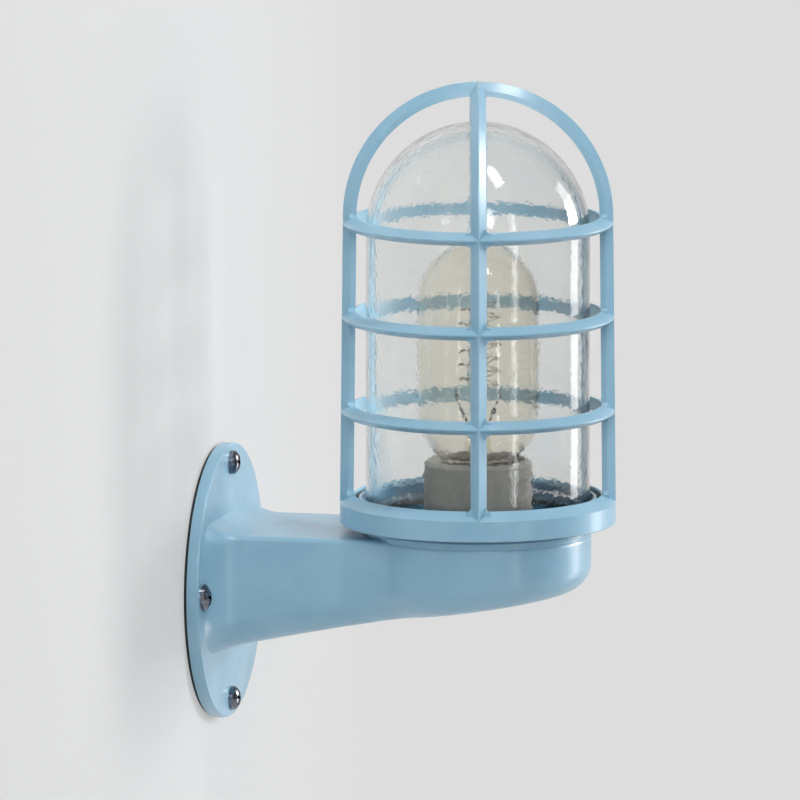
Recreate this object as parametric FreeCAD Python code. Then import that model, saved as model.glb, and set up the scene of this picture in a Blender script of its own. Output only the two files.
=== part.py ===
"""Cage wall light: cast bracket, ribbed guard, domed glass jar, porcelain lampholder and lamp.

Millimetres. The wall is the plane Y = 0, the light stands out along -Y, and Z is up.
The origin is the middle of the wall flange, on the wall.
"""
import FreeCAD, Part
import math
import os

V = FreeCAD.Vector

# ---- wall side ----
WALL_GASKET = 1.2
FLANGE_RADIUS = 50.75
FLANGE_THICKNESS = 4.4
FLANGE_EDGE_ROUND = 0.8
FIXING_INSET = 6.75
FIXING_COUNT = 4
FIXING_HOLE_RADIUS = 2.4
FIXING_SHANK_RADIUS = 2.1
FIXING_HEAD_RADIUS = 4.4
FIXING_HEAD_HEIGHT = 3.0
FIXING_HEAD_GAP = 0.6
FIXING_REACH = 22.0
THREAD_RELIEF = 0.2

# ---- bracket casting ----
REACH = 97.8
CAST_WALL = 3.5
ARM_HALF_WIDTH = 31.0
ARM_TOP = 21.4
ARM_TOP_ROUND = 2.0
ARM_BLEND = 15.0
CUP_RADIUS = 41.75
BOTTOM_AT_WALL = -22.6
BOTTOM_AT_MIDDLE = -8.9
BOTTOM_AT_TIP = 1.0
BOTTOM_ROUND = 11.0
BOTTOM_MIDDLE_REACH = 72.0
ROOT_LENGTH = 11.0
ROOT_SPREAD = 16.5
ROOT_RISE = 5.0
ROOT_DROP = 0.8
WEB_THICKNESS = 3.0
WEB_REACH = 56.0
BOSS_RADIUS = 4.6
PILOT_RADIUS = 1.6
PILOT_DEPTH = 6.0

# ---- neck of the casting ----
GROOVE_DEPTH = 0.45
GROOVE_HEIGHT = 0.6
BEAD_PROUD = 0.55
BEAD_HEIGHT = 1.3
NECK_WALL = 2.45
NECK_FOOT_GAP = 1.1
NECK_HEIGHT = 10.1
LEDGE_THICKNESS = 2.2
SEAL_SEAT_WIDTH = 1.2
SEAL_SEAT_HEIGHT = 1.7
THREAD_CLEARANCE = 0.35
SEAL_CLEARANCE = 0.3

# ---- guard ----
COLLAR_WALL = 5.45
COLLAR_UNDERSIDE = 25.07
COLLAR_WALL_HEIGHT = 7.6
COLLAR_HEIGHT = 10.7
COLLAR_EDGE = 0.4
CAGE_GAP = 3.4
CAGE_DOME_CENTRE = 138.6
CAGE_TAPER = 0.59
BAR_DEPTH = 5.0
RIB_WIDTH = 6.0
RING_HEIGHT = 5.0
RIB_COUNT = 4
FIRST_RIB_ANGLE = 193.5
RING_LEVELS = (66.4, 101.2, 136.0)
RIDGE_FLAT = 0.5
FACET_DEPTH = 3.0
SIDE_DRAFT = 0.4
CORNER_ROUND = 1.6
RIB_BURIED = 2.0

# ---- glass jar ----
JAR_RADIUS = 41.2
JAR_WALL = 3.3
JAR_DOME_CENTRE = 132.1
JAR_THREAD_PROUD = 0.9
JAR_THREAD_HEIGHT = 4.8
JAR_GASKET = 2.0

# ---- lampholder ----
HOLDER_RADIUS = 19.9
HOLDER_TOP = 48.4
HOLDER_FOOT = 6.0
HOLDER_BASE = 11.0
HOLDER_MOUTH_RADIUS = 17.0
HOLDER_MOUTH_DEPTH = 4.0
HOLDER_RIM_ROUND = 1.4
SHELL_RADIUS = 14.0
SHELL_WALL = 0.5
SHELL_HEIGHT = 25.0
CONTACT_WELL_RADIUS = 8.0
CONTACT_WELL_DEPTH = 5.0
STRAP_THICKNESS = 1.5
STRAP_WIDTH = 13.0
STRAP_HALF_SPAN = 34.0
STRAP_SCREW_SPREAD = 28.5
HOLDER_SCREW_SPREAD = 12.0
TERMINAL_SPREAD = 7.5
TERMINAL_WIDTH = 5.0
TERMINAL_DEPTH = 6.0
TERMINAL_HEIGHT = 6.0

# ---- lamp ----
LAMP_RADIUS = 22.4
LAMP_TOP = 129.4
LAMP_LENGTH = 110.0
LAMP_LOWER_CENTRE = 66.5
LAMP_WALL = 0.8
LAMP_NECK_RADIUS = 12.6
LAMP_NECK_END = 38.0
CAP_RADIUS = 13.15
CAP_WALL = 0.25
CAP_TOP = 47.0
CAP_BOTTOM = 24.2
CAP_CONTACT_RADIUS = 4.6
CAP_CONTACT_HEIGHT = 1.2
STEM_RADIUS = 4.0
STEM_TOP = 50.0
PINCH_TOP = 58.0
ROD_RADIUS = 1.1
ROD_TOP = 111.0
CAGE_FILAMENT_RADIUS = 8.4
FILAMENT_WIRE = 0.22
HOOK_WIRE = 0.2
HOOKS_PER_TURN = 5
FILAMENT_LOW = 76.0
FILAMENT_PITCH = 5.1
FILAMENT_HOOKS = 31

# ---- wiring ----
LEAD_RADIUS = 1.2
BLOCK_WIDTH = 27.0
BLOCK_DEPTH = 13.0
BLOCK_HEIGHT = 10.0
BLOCK_REACH = 14.0
BLOCK_SEAT = -11.0
POLE_PITCH = 9.0
GROMMET_RADIUS = 7.0
GROMMET_BORE = 4.6
GROMMET_LEVEL = 3.0
EARTH_SPOT = (18.0, -42.0)
EARTH_SEAT = -6.0
TAG_THICKNESS = 0.8

SEAT_GAP = 0.3
PASSING = 5.0

# ---- places that follow from the sizes above ----
FLANGE_BACK = -WALL_GASKET
FLANGE_FACE = FLANGE_BACK - FLANGE_THICKNESS
AXIS_Y = FLANGE_BACK - REACH
NECK_FOOT = ARM_TOP + GROOVE_HEIGHT + BEAD_HEIGHT + NECK_FOOT_GAP
NECK_TOP = NECK_FOOT + NECK_HEIGHT
LEDGE = NECK_FOOT + LEDGE_THICKNESS
FIXING_RADIUS = FLANGE_RADIUS - FIXING_INSET
JAR_THREAD_RADIUS = JAR_RADIUS + JAR_THREAD_PROUD
NECK_BORE = JAR_THREAD_RADIUS + THREAD_CLEARANCE
NECK_RADIUS = NECK_BORE + NECK_WALL
CUP_BORE = CUP_RADIUS - CAST_WALL
COLLAR_BORE = NECK_RADIUS + THREAD_CLEARANCE
COLLAR_RADIUS = COLLAR_BORE + COLLAR_WALL
CAGE_DOME_RADIUS = JAR_RADIUS + CAGE_GAP + BAR_DEPTH
JAR_FOOT = LEDGE + JAR_GASKET + SEAT_GAP
STRAP_SEAT = HOLDER_FOOT - STRAP_THICKNESS
HOLDER_FLOOR = HOLDER_FOOT + HOLDER_BASE
LAMP_FOOT = LAMP_TOP - LAMP_LENGTH
FACING = math.radians(FIRST_RIB_ANGLE + 90.0)


def on_axis(shape):
    """Carry a shape made about the Z axis to the axis of the cage."""
    shape.translate(V(0, AXIS_Y, 0))
    return shape


def closed_face(points):
    corners = [V(*point) for point in points]
    return Part.Face(Part.makePolygon(corners + corners[:1]))


def turned(profile):
    """Turn a closed outline of (radius, height) points about the axis of the cage."""
    face = closed_face([(radius, 0, height) for radius, height in profile])
    return on_axis(face.revolve(V(0, 0, 0), V(0, 0, 1), 360))


def sleeve(inner, outer, low, high):
    return turned([(inner, low), (outer, low), (outer, high), (inner, high)])


def disc(radius, low, high, x=0.0, y=0.0):
    return Part.makeCylinder(radius, high - low, V(x, y, low))


def block(low, high):
    size = V(*high) - V(*low)
    return Part.makeBox(size.x, size.y, size.z, V(*low))


def fused(first, others):
    return first.multiFuse(others).removeSplitter()


def polar(radius, angle, height):
    return V(radius * math.cos(angle), radius * math.sin(angle), height)


# ---------------------------------------------------------------- bracket


def bottom_arc(lift):
    """The long shallow curve of the underside, from wall to tip, raised by lift."""
    start = V(0, FLANGE_FACE, BOTTOM_AT_WALL + lift)
    middle = V(0, FLANGE_BACK - BOTTOM_MIDDLE_REACH, BOTTOM_AT_MIDDLE + lift)
    end = V(0, AXIS_Y - CUP_RADIUS, BOTTOM_AT_TIP + lift)
    return Part.Arc(start, middle, end)


def bottom_height(y):
    arc = bottom_arc(0)
    level = Part.Line(V(0, y, -500), V(0, y, 500))
    crossings = level.intersect(arc.toShape().Curve)
    return max(point.Z for point in crossings if point.Z < ARM_TOP)


def plan_outline(inset, back):
    """Outline of arm and cup seen from above, with the arm's sides blended into the cup."""
    half = ARM_HALF_WIDTH - inset
    radius = CUP_RADIUS - inset
    blend = ARM_BLEND + inset
    away = math.sqrt((radius + blend) ** 2 - (half + blend) ** 2)
    lean = math.atan2(half + blend, away)
    touch = V(radius * math.sin(lean), AXIS_Y + radius * math.cos(lean), 0)
    start = V(half, AXIS_Y + away, 0)
    middle_angle = math.pi + (math.pi / 2 - lean) / 2
    centre = V(half + blend, AXIS_Y + away, 0)
    middle = centre + V(math.cos(middle_angle), math.sin(middle_angle), 0) * blend

    def mirrored(point):
        return V(-point.x, point.y, 0)

    tip = V(0, AXIS_Y - radius, 0)
    edges = [
        Part.makeLine(V(half, back, 0), start),
        Part.Arc(start, middle, touch).toShape(),
        Part.Arc(touch, tip, mirrored(touch)).toShape(),
        Part.Arc(mirrored(touch), mirrored(middle), mirrored(start)).toShape(),
        Part.makeLine(mirrored(start), V(-half, back, 0)),
        Part.makeLine(V(-half, back, 0), V(half, back, 0)),
    ]
    return Part.Face(Part.Wire(edges))


def side_outline(lift, top, back):
    """Outline of arm and cup seen from the side."""
    arc = bottom_arc(lift)
    far = V(0, AXIS_Y - CUP_RADIUS - 1, 0)
    tip = arc.EndPoint
    root = arc.StartPoint
    beyond = V(0, far.y, tip.z)
    edges = [arc.toShape(), Part.makeLine(tip, beyond), Part.makeLine(beyond, V(0, far.y, top))]
    edges.append(Part.makeLine(V(0, far.y, top), V(0, back, top)))
    edges.append(Part.makeLine(V(0, back, top), V(0, back, root.z)))
    if abs(back - root.y) > 1e-6:
        edges.append(Part.makeLine(V(0, back, root.z), root))
    return Part.Face(Part.Wire(edges))


def hull(inset, top, back, top_round=0):
    """Arm and cup as one rounded form, inset from the outside by the given wall."""
    span = 200.0
    plan = plan_outline(inset, back)
    plan.translate(V(0, 0, BOTTOM_AT_WALL - 10))
    tall = plan.extrude(V(0, 0, span))
    side = side_outline(inset, top, back)
    side.translate(V(-span / 2, 0, 0))
    form = tall.common(side.extrude(V(span, 0, 0)))
    bottom_edges = []
    for edge in form.Edges:
        box = edge.BoundBox
        below = box.ZMax < (BOTTOM_AT_TIP + ARM_TOP) / 2
        across = abs(box.YMax - back) < 1e-6 and box.YLength < 1e-6
        if below and not across and box.XLength + box.YLength > 1 and box.YMin < back - 1:
            bottom_edges.append(edge)
    form = form.makeFillet(BOTTOM_ROUND - inset, bottom_edges)
    if not top_round:
        return form
    rim = [edge for edge in form.Edges
           if min(point.z for point in edge.discretize(3)) > top - 0.01
           and min(point.y for point in edge.discretize(3)) < back - 1]
    return form.makeFillet(top_round, rim)


def root_section(y, half, top, bottom, top_round, bottom_round):
    """One rounded section of the arm's root, standing parallel to the wall."""
    def corner(x, z, radius, start):
        centre = V(x, y, z)
        first = math.radians(start)
        points = [centre + V(math.cos(first + turn), 0, math.sin(first + turn)) * radius
                  for turn in (0, math.pi / 4, math.pi / 2)]
        return Part.Arc(*points)

    arcs = [
        corner(half - top_round, top - top_round, top_round, 0),
        corner(-half + top_round, top - top_round, top_round, 90),
        corner(-half + bottom_round, bottom + bottom_round, bottom_round, 180),
        corner(half - bottom_round, bottom + bottom_round, bottom_round, 270),
    ]
    edges = []
    for index, arc in enumerate(arcs):
        edges.append(arc.toShape())
        edges.append(Part.makeLine(arc.EndPoint, arcs[(index + 1) % 4].StartPoint))
    return Part.Wire(edges)


def arm_root():
    """The arm spreads like a trumpet where it meets the flange."""
    stations = ((0.0, 1.0), (0.2, 0.55), (0.45, 0.23), (0.75, 0.05), (1.0, -0.02))
    wires = []
    for along, spread in stations:
        y = FLANGE_FACE + FLANGE_EDGE_ROUND - along * (ROOT_LENGTH + FLANGE_EDGE_ROUND)
        half = ARM_HALF_WIDTH + spread * ROOT_SPREAD
        top = ARM_TOP + spread * ROOT_RISE
        bottom = bottom_height(min(y, FLANGE_FACE)) - spread * ROOT_DROP
        top_round = ARM_TOP_ROUND + spread * ROOT_SPREAD * 0.8
        bottom_round = BOTTOM_ROUND + spread * ROOT_SPREAD * 0.6
        wires.append(root_section(y, half, top, bottom, top_round, bottom_round))
    return Part.makeLoft(wires, True, False)


def neck():
    """Groove, bead and threaded neck above the cup."""
    groove = CUP_RADIUS - GROOVE_DEPTH
    bead = CUP_RADIUS + BEAD_PROUD
    bead_low = ARM_TOP + GROOVE_HEIGHT
    bead_high = bead_low + BEAD_HEIGHT
    seat = NECK_TOP - SEAL_SEAT_HEIGHT
    return turned([
        (0, ARM_TOP - 1), (groove, ARM_TOP - 1), (groove, bead_low), (bead - 0.3, bead_low),
        (bead, bead_low + 0.3), (bead, bead_high - 0.3), (bead - 0.3, bead_high),
        (groove, bead_high), (groove, NECK_FOOT), (NECK_RADIUS, NECK_FOOT),
        (NECK_RADIUS, seat), (NECK_RADIUS - SEAL_SEAT_WIDTH, seat),
        (NECK_RADIUS - SEAL_SEAT_WIDTH, NECK_TOP), (0, NECK_TOP),
    ])


def fixing_spots():
    for index in range(FIXING_COUNT):
        angle = 2 * math.pi * index / FIXING_COUNT
        yield FIXING_RADIUS * math.cos(angle), FIXING_RADIUS * math.sin(angle)


def flange():
    plate = Part.makeCylinder(FLANGE_RADIUS, FLANGE_THICKNESS, V(0, FLANGE_BACK, 0), V(0, -1, 0))
    rim = [edge for edge in plate.Edges
           if edge.BoundBox.YLength < 1e-6 and abs(edge.BoundBox.YMin - FLANGE_FACE) < 1e-6]
    return plate.makeFillet(FLANGE_EDGE_ROUND, rim)


def inside_bosses(outer):
    """Pads inside the casting for the strap, the terminal block and the earth screw."""
    deep = BOTTOM_AT_WALL - 5
    pads = []
    for side in (-1, 1):
        pads.append(disc(BOSS_RADIUS, deep, STRAP_SEAT, side * STRAP_SCREW_SPREAD, AXIS_Y))
    pads.append(disc(BOSS_RADIUS, deep, EARTH_SEAT, *EARTH_SPOT))
    near = FLANGE_BACK - BLOCK_REACH
    pads.append(block((-BLOCK_WIDTH / 2, near - BLOCK_DEPTH, deep), (BLOCK_WIDTH / 2, near, BLOCK_SEAT)))
    return [pad.common(outer) for pad in pads]


def pilot_holes():
    holes = []
    for side in (-1, 1):
        holes.append(disc(PILOT_RADIUS, STRAP_SEAT - PILOT_DEPTH, STRAP_SEAT + 1,
                          side * STRAP_SCREW_SPREAD, AXIS_Y))
    holes.append(disc(PILOT_RADIUS, EARTH_SEAT - PILOT_DEPTH, EARTH_SEAT + 1, *EARTH_SPOT))
    block_y = FLANGE_BACK - BLOCK_REACH - BLOCK_DEPTH / 2
    holes.append(disc(PILOT_RADIUS, BLOCK_SEAT - PILOT_DEPTH, BLOCK_SEAT + 1, POLE_PITCH / 2, block_y))
    return holes


def make_wall_bracket():
    outer = hull(0, ARM_TOP, FLANGE_FACE + FLANGE_EDGE_ROUND, ARM_TOP_ROUND)
    outer = fused(outer, [arm_root(), flange(), neck()])
    inner = hull(CAST_WALL, ARM_TOP - CAST_WALL, FLANGE_BACK + 1)
    web_y = FLANGE_BACK - WEB_REACH
    web = block((-CUP_RADIUS, web_y - WEB_THICKNESS, BOTTOM_AT_WALL),
                (CUP_RADIUS, web_y, ARM_TOP)).common(inner)
    inner = inner.cut(web)
    inner = inner.cut(Part.makeCompound(inside_bosses(outer)))
    cup_bore = on_axis(disc(CUP_BORE, ARM_TOP - 2 * CAST_WALL, LEDGE + 1))
    neck_bore = on_axis(disc(NECK_BORE, LEDGE, NECK_TOP + 1))
    grommet_hole = Part.makeCylinder(GROMMET_RADIUS, WEB_THICKNESS + 2 * PASSING,
                                     V(0, web_y + PASSING, GROMMET_LEVEL), V(0, -1, 0))
    cuts = [inner, cup_bore, neck_bore, grommet_hole] + pilot_holes()
    for x, z in fixing_spots():
        cuts.append(Part.makeCylinder(FIXING_HOLE_RADIUS, FIXING_REACH, V(x, PASSING, z), V(0, -1, 0)))
        cuts.append(Part.makeCylinder(FIXING_HEAD_RADIUS + FIXING_HEAD_GAP, FIXING_REACH,
                                      V(x, FLANGE_FACE, z), V(0, -1, 0)))
    return outer.cut(cuts)


def make_wall_gasket():
    opening = math.hypot(ARM_HALF_WIDTH, -BOTTOM_AT_WALL) - CAST_WALL
    ring = Part.makeCylinder(FLANGE_RADIUS - 0.9, WALL_GASKET, V(0, 0, 0), V(0, -1, 0))
    ring = ring.cut(Part.makeCylinder(opening, 10, V(0, 5, 0), V(0, -1, 0)))
    holes = [Part.makeCylinder(FIXING_HOLE_RADIUS, 10, V(x, 5, z), V(0, -1, 0)) for x, z in fixing_spots()]
    return ring.cut(holes)


# ---------------------------------------------------------------- screws


def pan_screw(head_radius, head_height, shank_radius, shank_length, plain_length=0.5):
    """A cross-recess pan head screw, head up on Z = 0, shank down, thinner where it has no thread."""
    crown = head_height * 0.45
    plain = shank_radius - THREAD_RELIEF
    outline = [
        Part.makeLine(V(0, 0, -shank_length), V(shank_radius * 0.3, 0, -shank_length)),
        Part.makeLine(V(shank_radius * 0.3, 0, -shank_length),
                      V(shank_radius, 0, -shank_length + shank_radius * 1.5)),
        Part.makeLine(V(shank_radius, 0, -shank_length + shank_radius * 1.5),
                      V(shank_radius, 0, -plain_length)),
        Part.makeLine(V(shank_radius, 0, -plain_length), V(plain, 0, -plain_length)),
        Part.makeLine(V(plain, 0, -plain_length), V(plain, 0, 0)),
        Part.makeLine(V(plain, 0, 0), V(head_radius, 0, 0)),
        Part.makeLine(V(head_radius, 0, 0), V(head_radius, 0, crown)),
        Part.Arc(V(head_radius, 0, crown), V(head_radius * 0.72, 0, head_height * 0.86),
                 V(0, 0, head_height)).toShape(),
        Part.makeLine(V(0, 0, head_height), V(0, 0, -shank_length)),
    ]
    screw = Part.Face(Part.Wire(outline)).revolve(V(0, 0, 0), V(0, 0, 1), 360)
    arm = head_radius * 0.58
    slot = head_radius * 0.13
    floor = head_height * 0.42
    cross = [block((-arm, -slot, floor), (arm, slot, head_height + 1)),
             block((-slot, -arm, floor), (slot, arm, head_height + 1))]
    return screw.cut(cross)


def upright(screw, x, y, z):
    screw.translate(V(x, y, z))
    return screw


def make_mounting_screws():
    screws = []
    for x, z in fixing_spots():
        reach = FIXING_REACH - FLANGE_FACE
        screw = pan_screw(FIXING_HEAD_RADIUS, FIXING_HEAD_HEIGHT, FIXING_SHANK_RADIUS, reach, -FLANGE_FACE)
        screw.rotate(V(0, 0, 0), V(0, 0, 1), 25 + x + z)
        screw.rotate(V(0, 0, 0), V(1, 0, 0), 90)
        screw.translate(V(x, FLANGE_FACE, z))
        screws.append(screw)
    return Part.makeCompound(screws)


def make_strap_screws():
    top = HOLDER_FOOT
    return Part.makeCompound([
        upright(pan_screw(3.4, 2.4, PILOT_RADIUS - 0.1, PILOT_DEPTH), side * STRAP_SCREW_SPREAD, AXIS_Y, top)
        for side in (-1, 1)])


def make_holder_screws():
    screws = []
    for side in (-1, 1):
        screw = pan_screw(2.8, 2.0, PILOT_RADIUS - 0.1, 7.0)
        screw.rotate(V(0, 0, 0), V(1, 0, 0), 180)
        screws.append(upright(screw, side * HOLDER_SCREW_SPREAD, AXIS_Y, STRAP_SEAT))
    return Part.makeCompound(screws)


# ---------------------------------------------------------------- guard


def cage_radius(height):
    """Outer radius of the tapered part of the cage."""
    taper = math.radians(CAGE_TAPER)
    return CAGE_DOME_RADIUS / math.cos(taper) - (height - CAGE_DOME_CENTRE) * math.tan(taper)


def bar_outline(width):
    """Half-widths of a bar's section against the depth under its ridge."""
    return ((RIDGE_FLAT / 2, 0), (width / 2 - SIDE_DRAFT, FACET_DEPTH), (width / 2, BAR_DEPTH))


def rib():
    """The rib at angle zero, from the collar to the top, mitred where it meets the others."""
    taper = math.radians(CAGE_TAPER)
    inward = V(-math.cos(taper), 0, -math.sin(taper))
    down = V(math.sin(taper), 0, -math.cos(taper))
    tangent = V(0, 0, CAGE_DOME_CENTRE) - inward * CAGE_DOME_RADIUS
    outline = bar_outline(RIB_WIDTH)
    right = [tangent + inward * depth + V(0, half, 0) for half, depth in outline]
    left = [tangent + inward * depth - V(0, half, 0) for half, depth in reversed(outline)]
    section = Part.Face(Part.makePolygon(right + left + right[:1]))
    foot = COLLAR_UNDERSIDE + COLLAR_EDGE + RIB_BURIED
    leg = section.extrude(down * ((tangent.z - foot) / math.cos(taper)))
    crown = section.revolve(V(0, 0, CAGE_DOME_CENTRE), V(0, -1, 0), 90 - CAGE_TAPER)
    sector = closed_face([(0, 0, foot), (RIB_WIDTH, -RIB_WIDTH, foot), (RIB_WIDTH, RIB_WIDTH, foot)])
    mitre = sector.extrude(V(0, 0, CAGE_DOME_CENTRE + CAGE_DOME_RADIUS))
    beyond = block((RIB_WIDTH, -RIB_WIDTH, foot),
                   (CAGE_DOME_RADIUS + 1, RIB_WIDTH, CAGE_DOME_CENTRE + CAGE_DOME_RADIUS + 1))
    return [leg, crown.common(mitre.fuse(beyond).removeSplitter())]


def cage_ring(level):
    outer = cage_radius(level)
    outline = bar_outline(RING_HEIGHT)
    upper = [(outer - depth, half) for half, depth in outline]
    lower = [(outer - depth, -half) for half, depth in reversed(outline)]
    face = closed_face([(radius, 0, level + half) for radius, half in upper + lower])
    return face.revolve(V(0, 0, 0), V(0, 0, 1), 360)


def corner_fillet(radius, level, side, up, sink):
    """A concave filler in the corner between a rib and a ring, on the rib at angle zero."""
    flank = side * (RIB_WIDTH / 2 - SIDE_DRAFT / 2)
    buried = flank - side * 0.6
    deep = level - up * sink
    out = flank + side * CORNER_ROUND
    high = level + up * CORNER_ROUND
    bend = CORNER_ROUND * (1 - math.sqrt(0.5))
    near = radius - BAR_DEPTH + 0.25
    edges = [
        Part.makeLine(V(near, buried, deep), V(near, out, deep)),
        Part.makeLine(V(near, out, deep), V(near, out, level)),
        Part.Arc(V(near, out, level), V(near, flank + side * bend, level + up * bend),
                 V(near, flank, high)).toShape(),
        Part.makeLine(V(near, flank, high), V(near, buried, high)),
        Part.makeLine(V(near, buried, high), V(near, buried, deep)),
    ]
    return Part.Face(Part.Wire(edges)).extrude(V(BAR_DEPTH - FACET_DEPTH + 0.3, 0, 0))


def collar():
    """Threaded collar with a sloping top that the ribs stand on."""
    wall_top = COLLAR_UNDERSIDE + COLLAR_WALL_HEIGHT
    top = COLLAR_UNDERSIDE + COLLAR_HEIGHT
    face = closed_face([(radius, 0, height) for radius, height in (
        (COLLAR_BORE, COLLAR_UNDERSIDE), (COLLAR_RADIUS - COLLAR_EDGE, COLLAR_UNDERSIDE),
        (COLLAR_RADIUS, COLLAR_UNDERSIDE + COLLAR_EDGE), (COLLAR_RADIUS, wall_top),
        (COLLAR_RADIUS - COLLAR_EDGE, wall_top + COLLAR_EDGE), (COLLAR_BORE + COLLAR_EDGE, top),
        (COLLAR_BORE, top - COLLAR_EDGE))])
    return face.revolve(V(0, 0, 0), V(0, 0, 1), 360)


def make_guard():
    bars = [cage_ring(level) for level in RING_LEVELS]
    for index in range(RIB_COUNT):
        for bar in rib():
            bar.rotate(V(0, 0, 0), V(0, 0, 1), 360 * index / RIB_COUNT)
            bars.append(bar)
    collar_top = COLLAR_UNDERSIDE + COLLAR_HEIGHT
    for index in range(RIB_COUNT):
        fillers = []
        for side in (-1, 1):
            fillers.append(corner_fillet(cage_radius(collar_top), collar_top, side, 1, 2.5))
            for level in RING_LEVELS:
                for up in (-1, 1):
                    edge = level + up * (RING_HEIGHT / 2 - SIDE_DRAFT / 2)
                    fillers.append(corner_fillet(cage_radius(level), edge, side, up, 0.6))
        for filler in fillers:
            filler.rotate(V(0, 0, 0), V(0, 0, 1), 360 * index / RIB_COUNT)
        bars.extend(fillers)
    cage = collar().multiFuse(bars).removeSplitter()
    cage.rotate(V(0, 0, 0), V(0, 0, 1), FIRST_RIB_ANGLE)
    return on_axis(cage)


def make_guard_seal():
    seat = NECK_TOP - SEAL_SEAT_HEIGHT + SEAT_GAP
    inner = NECK_RADIUS - SEAL_SEAT_WIDTH + SEAL_CLEARANCE
    outer = COLLAR_BORE - SEAL_CLEARANCE
    top = NECK_TOP
    cham = 0.3
    return turned([(inner, seat), (outer, seat), (outer, top - cham), (outer - cham, top),
                   (inner + cham, top), (inner, top - cham)])


# ---------------------------------------------------------------- glass jar


def make_glass_jar():
    """Jar with a hemispherical top and a thicker threaded foot."""
    inner = JAR_RADIUS - JAR_WALL
    thread_top = JAR_FOOT + JAR_THREAD_HEIGHT
    shoulder = thread_top + JAR_THREAD_RADIUS - JAR_RADIUS
    half = math.sqrt(0.5)

    def dome(radius):
        return (V(radius, 0, JAR_DOME_CENTRE),
                V(radius * half, 0, JAR_DOME_CENTRE + radius * half),
                V(0, 0, JAR_DOME_CENTRE + radius))

    outside = dome(JAR_RADIUS)
    inside = dome(inner)
    edges = [
        Part.makeLine(V(inner, 0, JAR_FOOT), V(JAR_THREAD_RADIUS, 0, JAR_FOOT)),
        Part.makeLine(V(JAR_THREAD_RADIUS, 0, JAR_FOOT), V(JAR_THREAD_RADIUS, 0, thread_top)),
        Part.makeLine(V(JAR_THREAD_RADIUS, 0, thread_top), V(JAR_RADIUS, 0, shoulder)),
        Part.makeLine(V(JAR_RADIUS, 0, shoulder), outside[0]),
        Part.Arc(*outside).toShape(),
        Part.makeLine(outside[2], inside[2]),
        Part.Arc(*reversed(inside)).toShape(),
        Part.makeLine(inside[0], V(inner, 0, JAR_FOOT)),
    ]
    return on_axis(Part.Face(Part.Wire(edges)).revolve(V(0, 0, 0), V(0, 0, 1), 360))


def make_glass_gasket():
    return sleeve(CUP_BORE + 0.4, NECK_BORE - SEAT_GAP, LEDGE, LEDGE + JAR_GASKET)


# ---------------------------------------------------------------- lampholder


def terminal_pocket(side, clearance):
    """Space of one wire terminal in the back of the porcelain foot."""
    x = side * TERMINAL_SPREAD
    half = TERMINAL_WIDTH / 2 + clearance
    low = HOLDER_FOOT + 2.5
    back = AXIS_Y + HOLDER_RADIUS
    front = AXIS_Y + math.sqrt(HOLDER_RADIUS ** 2 - (TERMINAL_SPREAD + half) ** 2) - TERMINAL_DEPTH
    return V(x - half, front, low), V(x + half, back, low + TERMINAL_HEIGHT + clearance)


def make_lampholder_body():
    """Porcelain body with a wide mouth, a bore for the screw shell and a contact well."""
    mouth = HOLDER_TOP - HOLDER_MOUTH_DEPTH
    bore = SHELL_RADIUS + SEAT_GAP
    body = turned([
        (0, HOLDER_FOOT), (HOLDER_RADIUS - 0.8, HOLDER_FOOT), (HOLDER_RADIUS, HOLDER_FOOT + 0.8),
        (HOLDER_RADIUS, HOLDER_TOP - HOLDER_RIM_ROUND),
        (HOLDER_RADIUS - 0.4 * HOLDER_RIM_ROUND, HOLDER_TOP - 0.4 * HOLDER_RIM_ROUND),
        (HOLDER_RADIUS - HOLDER_RIM_ROUND, HOLDER_TOP), (HOLDER_MOUTH_RADIUS, HOLDER_TOP),
        (HOLDER_MOUTH_RADIUS - 0.6, mouth), (bore, mouth), (bore, HOLDER_FLOOR),
        (CONTACT_WELL_RADIUS, HOLDER_FLOOR), (CONTACT_WELL_RADIUS, HOLDER_FLOOR - CONTACT_WELL_DEPTH),
        (0, HOLDER_FLOOR - CONTACT_WELL_DEPTH),
    ])
    cuts = [block(*terminal_pocket(side, SEAT_GAP)) for side in (-1, 1)]
    for side in (-1, 1):
        cuts.append(disc(PILOT_RADIUS, HOLDER_FOOT - 1, HOLDER_FOOT + 7, side * HOLDER_SCREW_SPREAD, AXIS_Y))
    return body.cut(cuts)


def make_lampholder_shell():
    """Screw shell: a thin brass tube with a flat foot ring."""
    inner = SHELL_RADIUS - SHELL_WALL
    top = HOLDER_FLOOR + SHELL_HEIGHT
    return turned([
        (CONTACT_WELL_RADIUS + 1, HOLDER_FLOOR), (SHELL_RADIUS, HOLDER_FLOOR), (SHELL_RADIUS, top),
        (inner, top), (inner, HOLDER_FLOOR + SHELL_WALL),
        (CONTACT_WELL_RADIUS + 1, HOLDER_FLOOR + SHELL_WALL),
    ])


def make_centre_contact():
    """Spring tongue: flat foot in the well, then a slope up to a flat under the lamp."""
    thick = 0.6
    half = 3.0
    floor = HOLDER_FLOOR - CONTACT_WELL_DEPTH
    top = LAMP_FOOT - SEAT_GAP
    reach = CONTACT_WELL_RADIUS - 1.4
    outer = [(-reach, floor), (reach * 0.3, floor), (reach + thick, floor + 1.6), (reach * 0.4, top),
             (-reach * 0.4, top)]
    inner = [(-reach * 0.4, top - thick), (reach * 0.4 - 0.3, top - thick), (reach, floor + 1.9),
             (reach * 0.3 - 0.2, floor + thick), (-reach, floor + thick)]
    face = closed_face([(-half, along, height) for along, height in outer + inner])
    tongue = face.extrude(V(2 * half, 0, 0))
    return on_axis(tongue)


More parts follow.
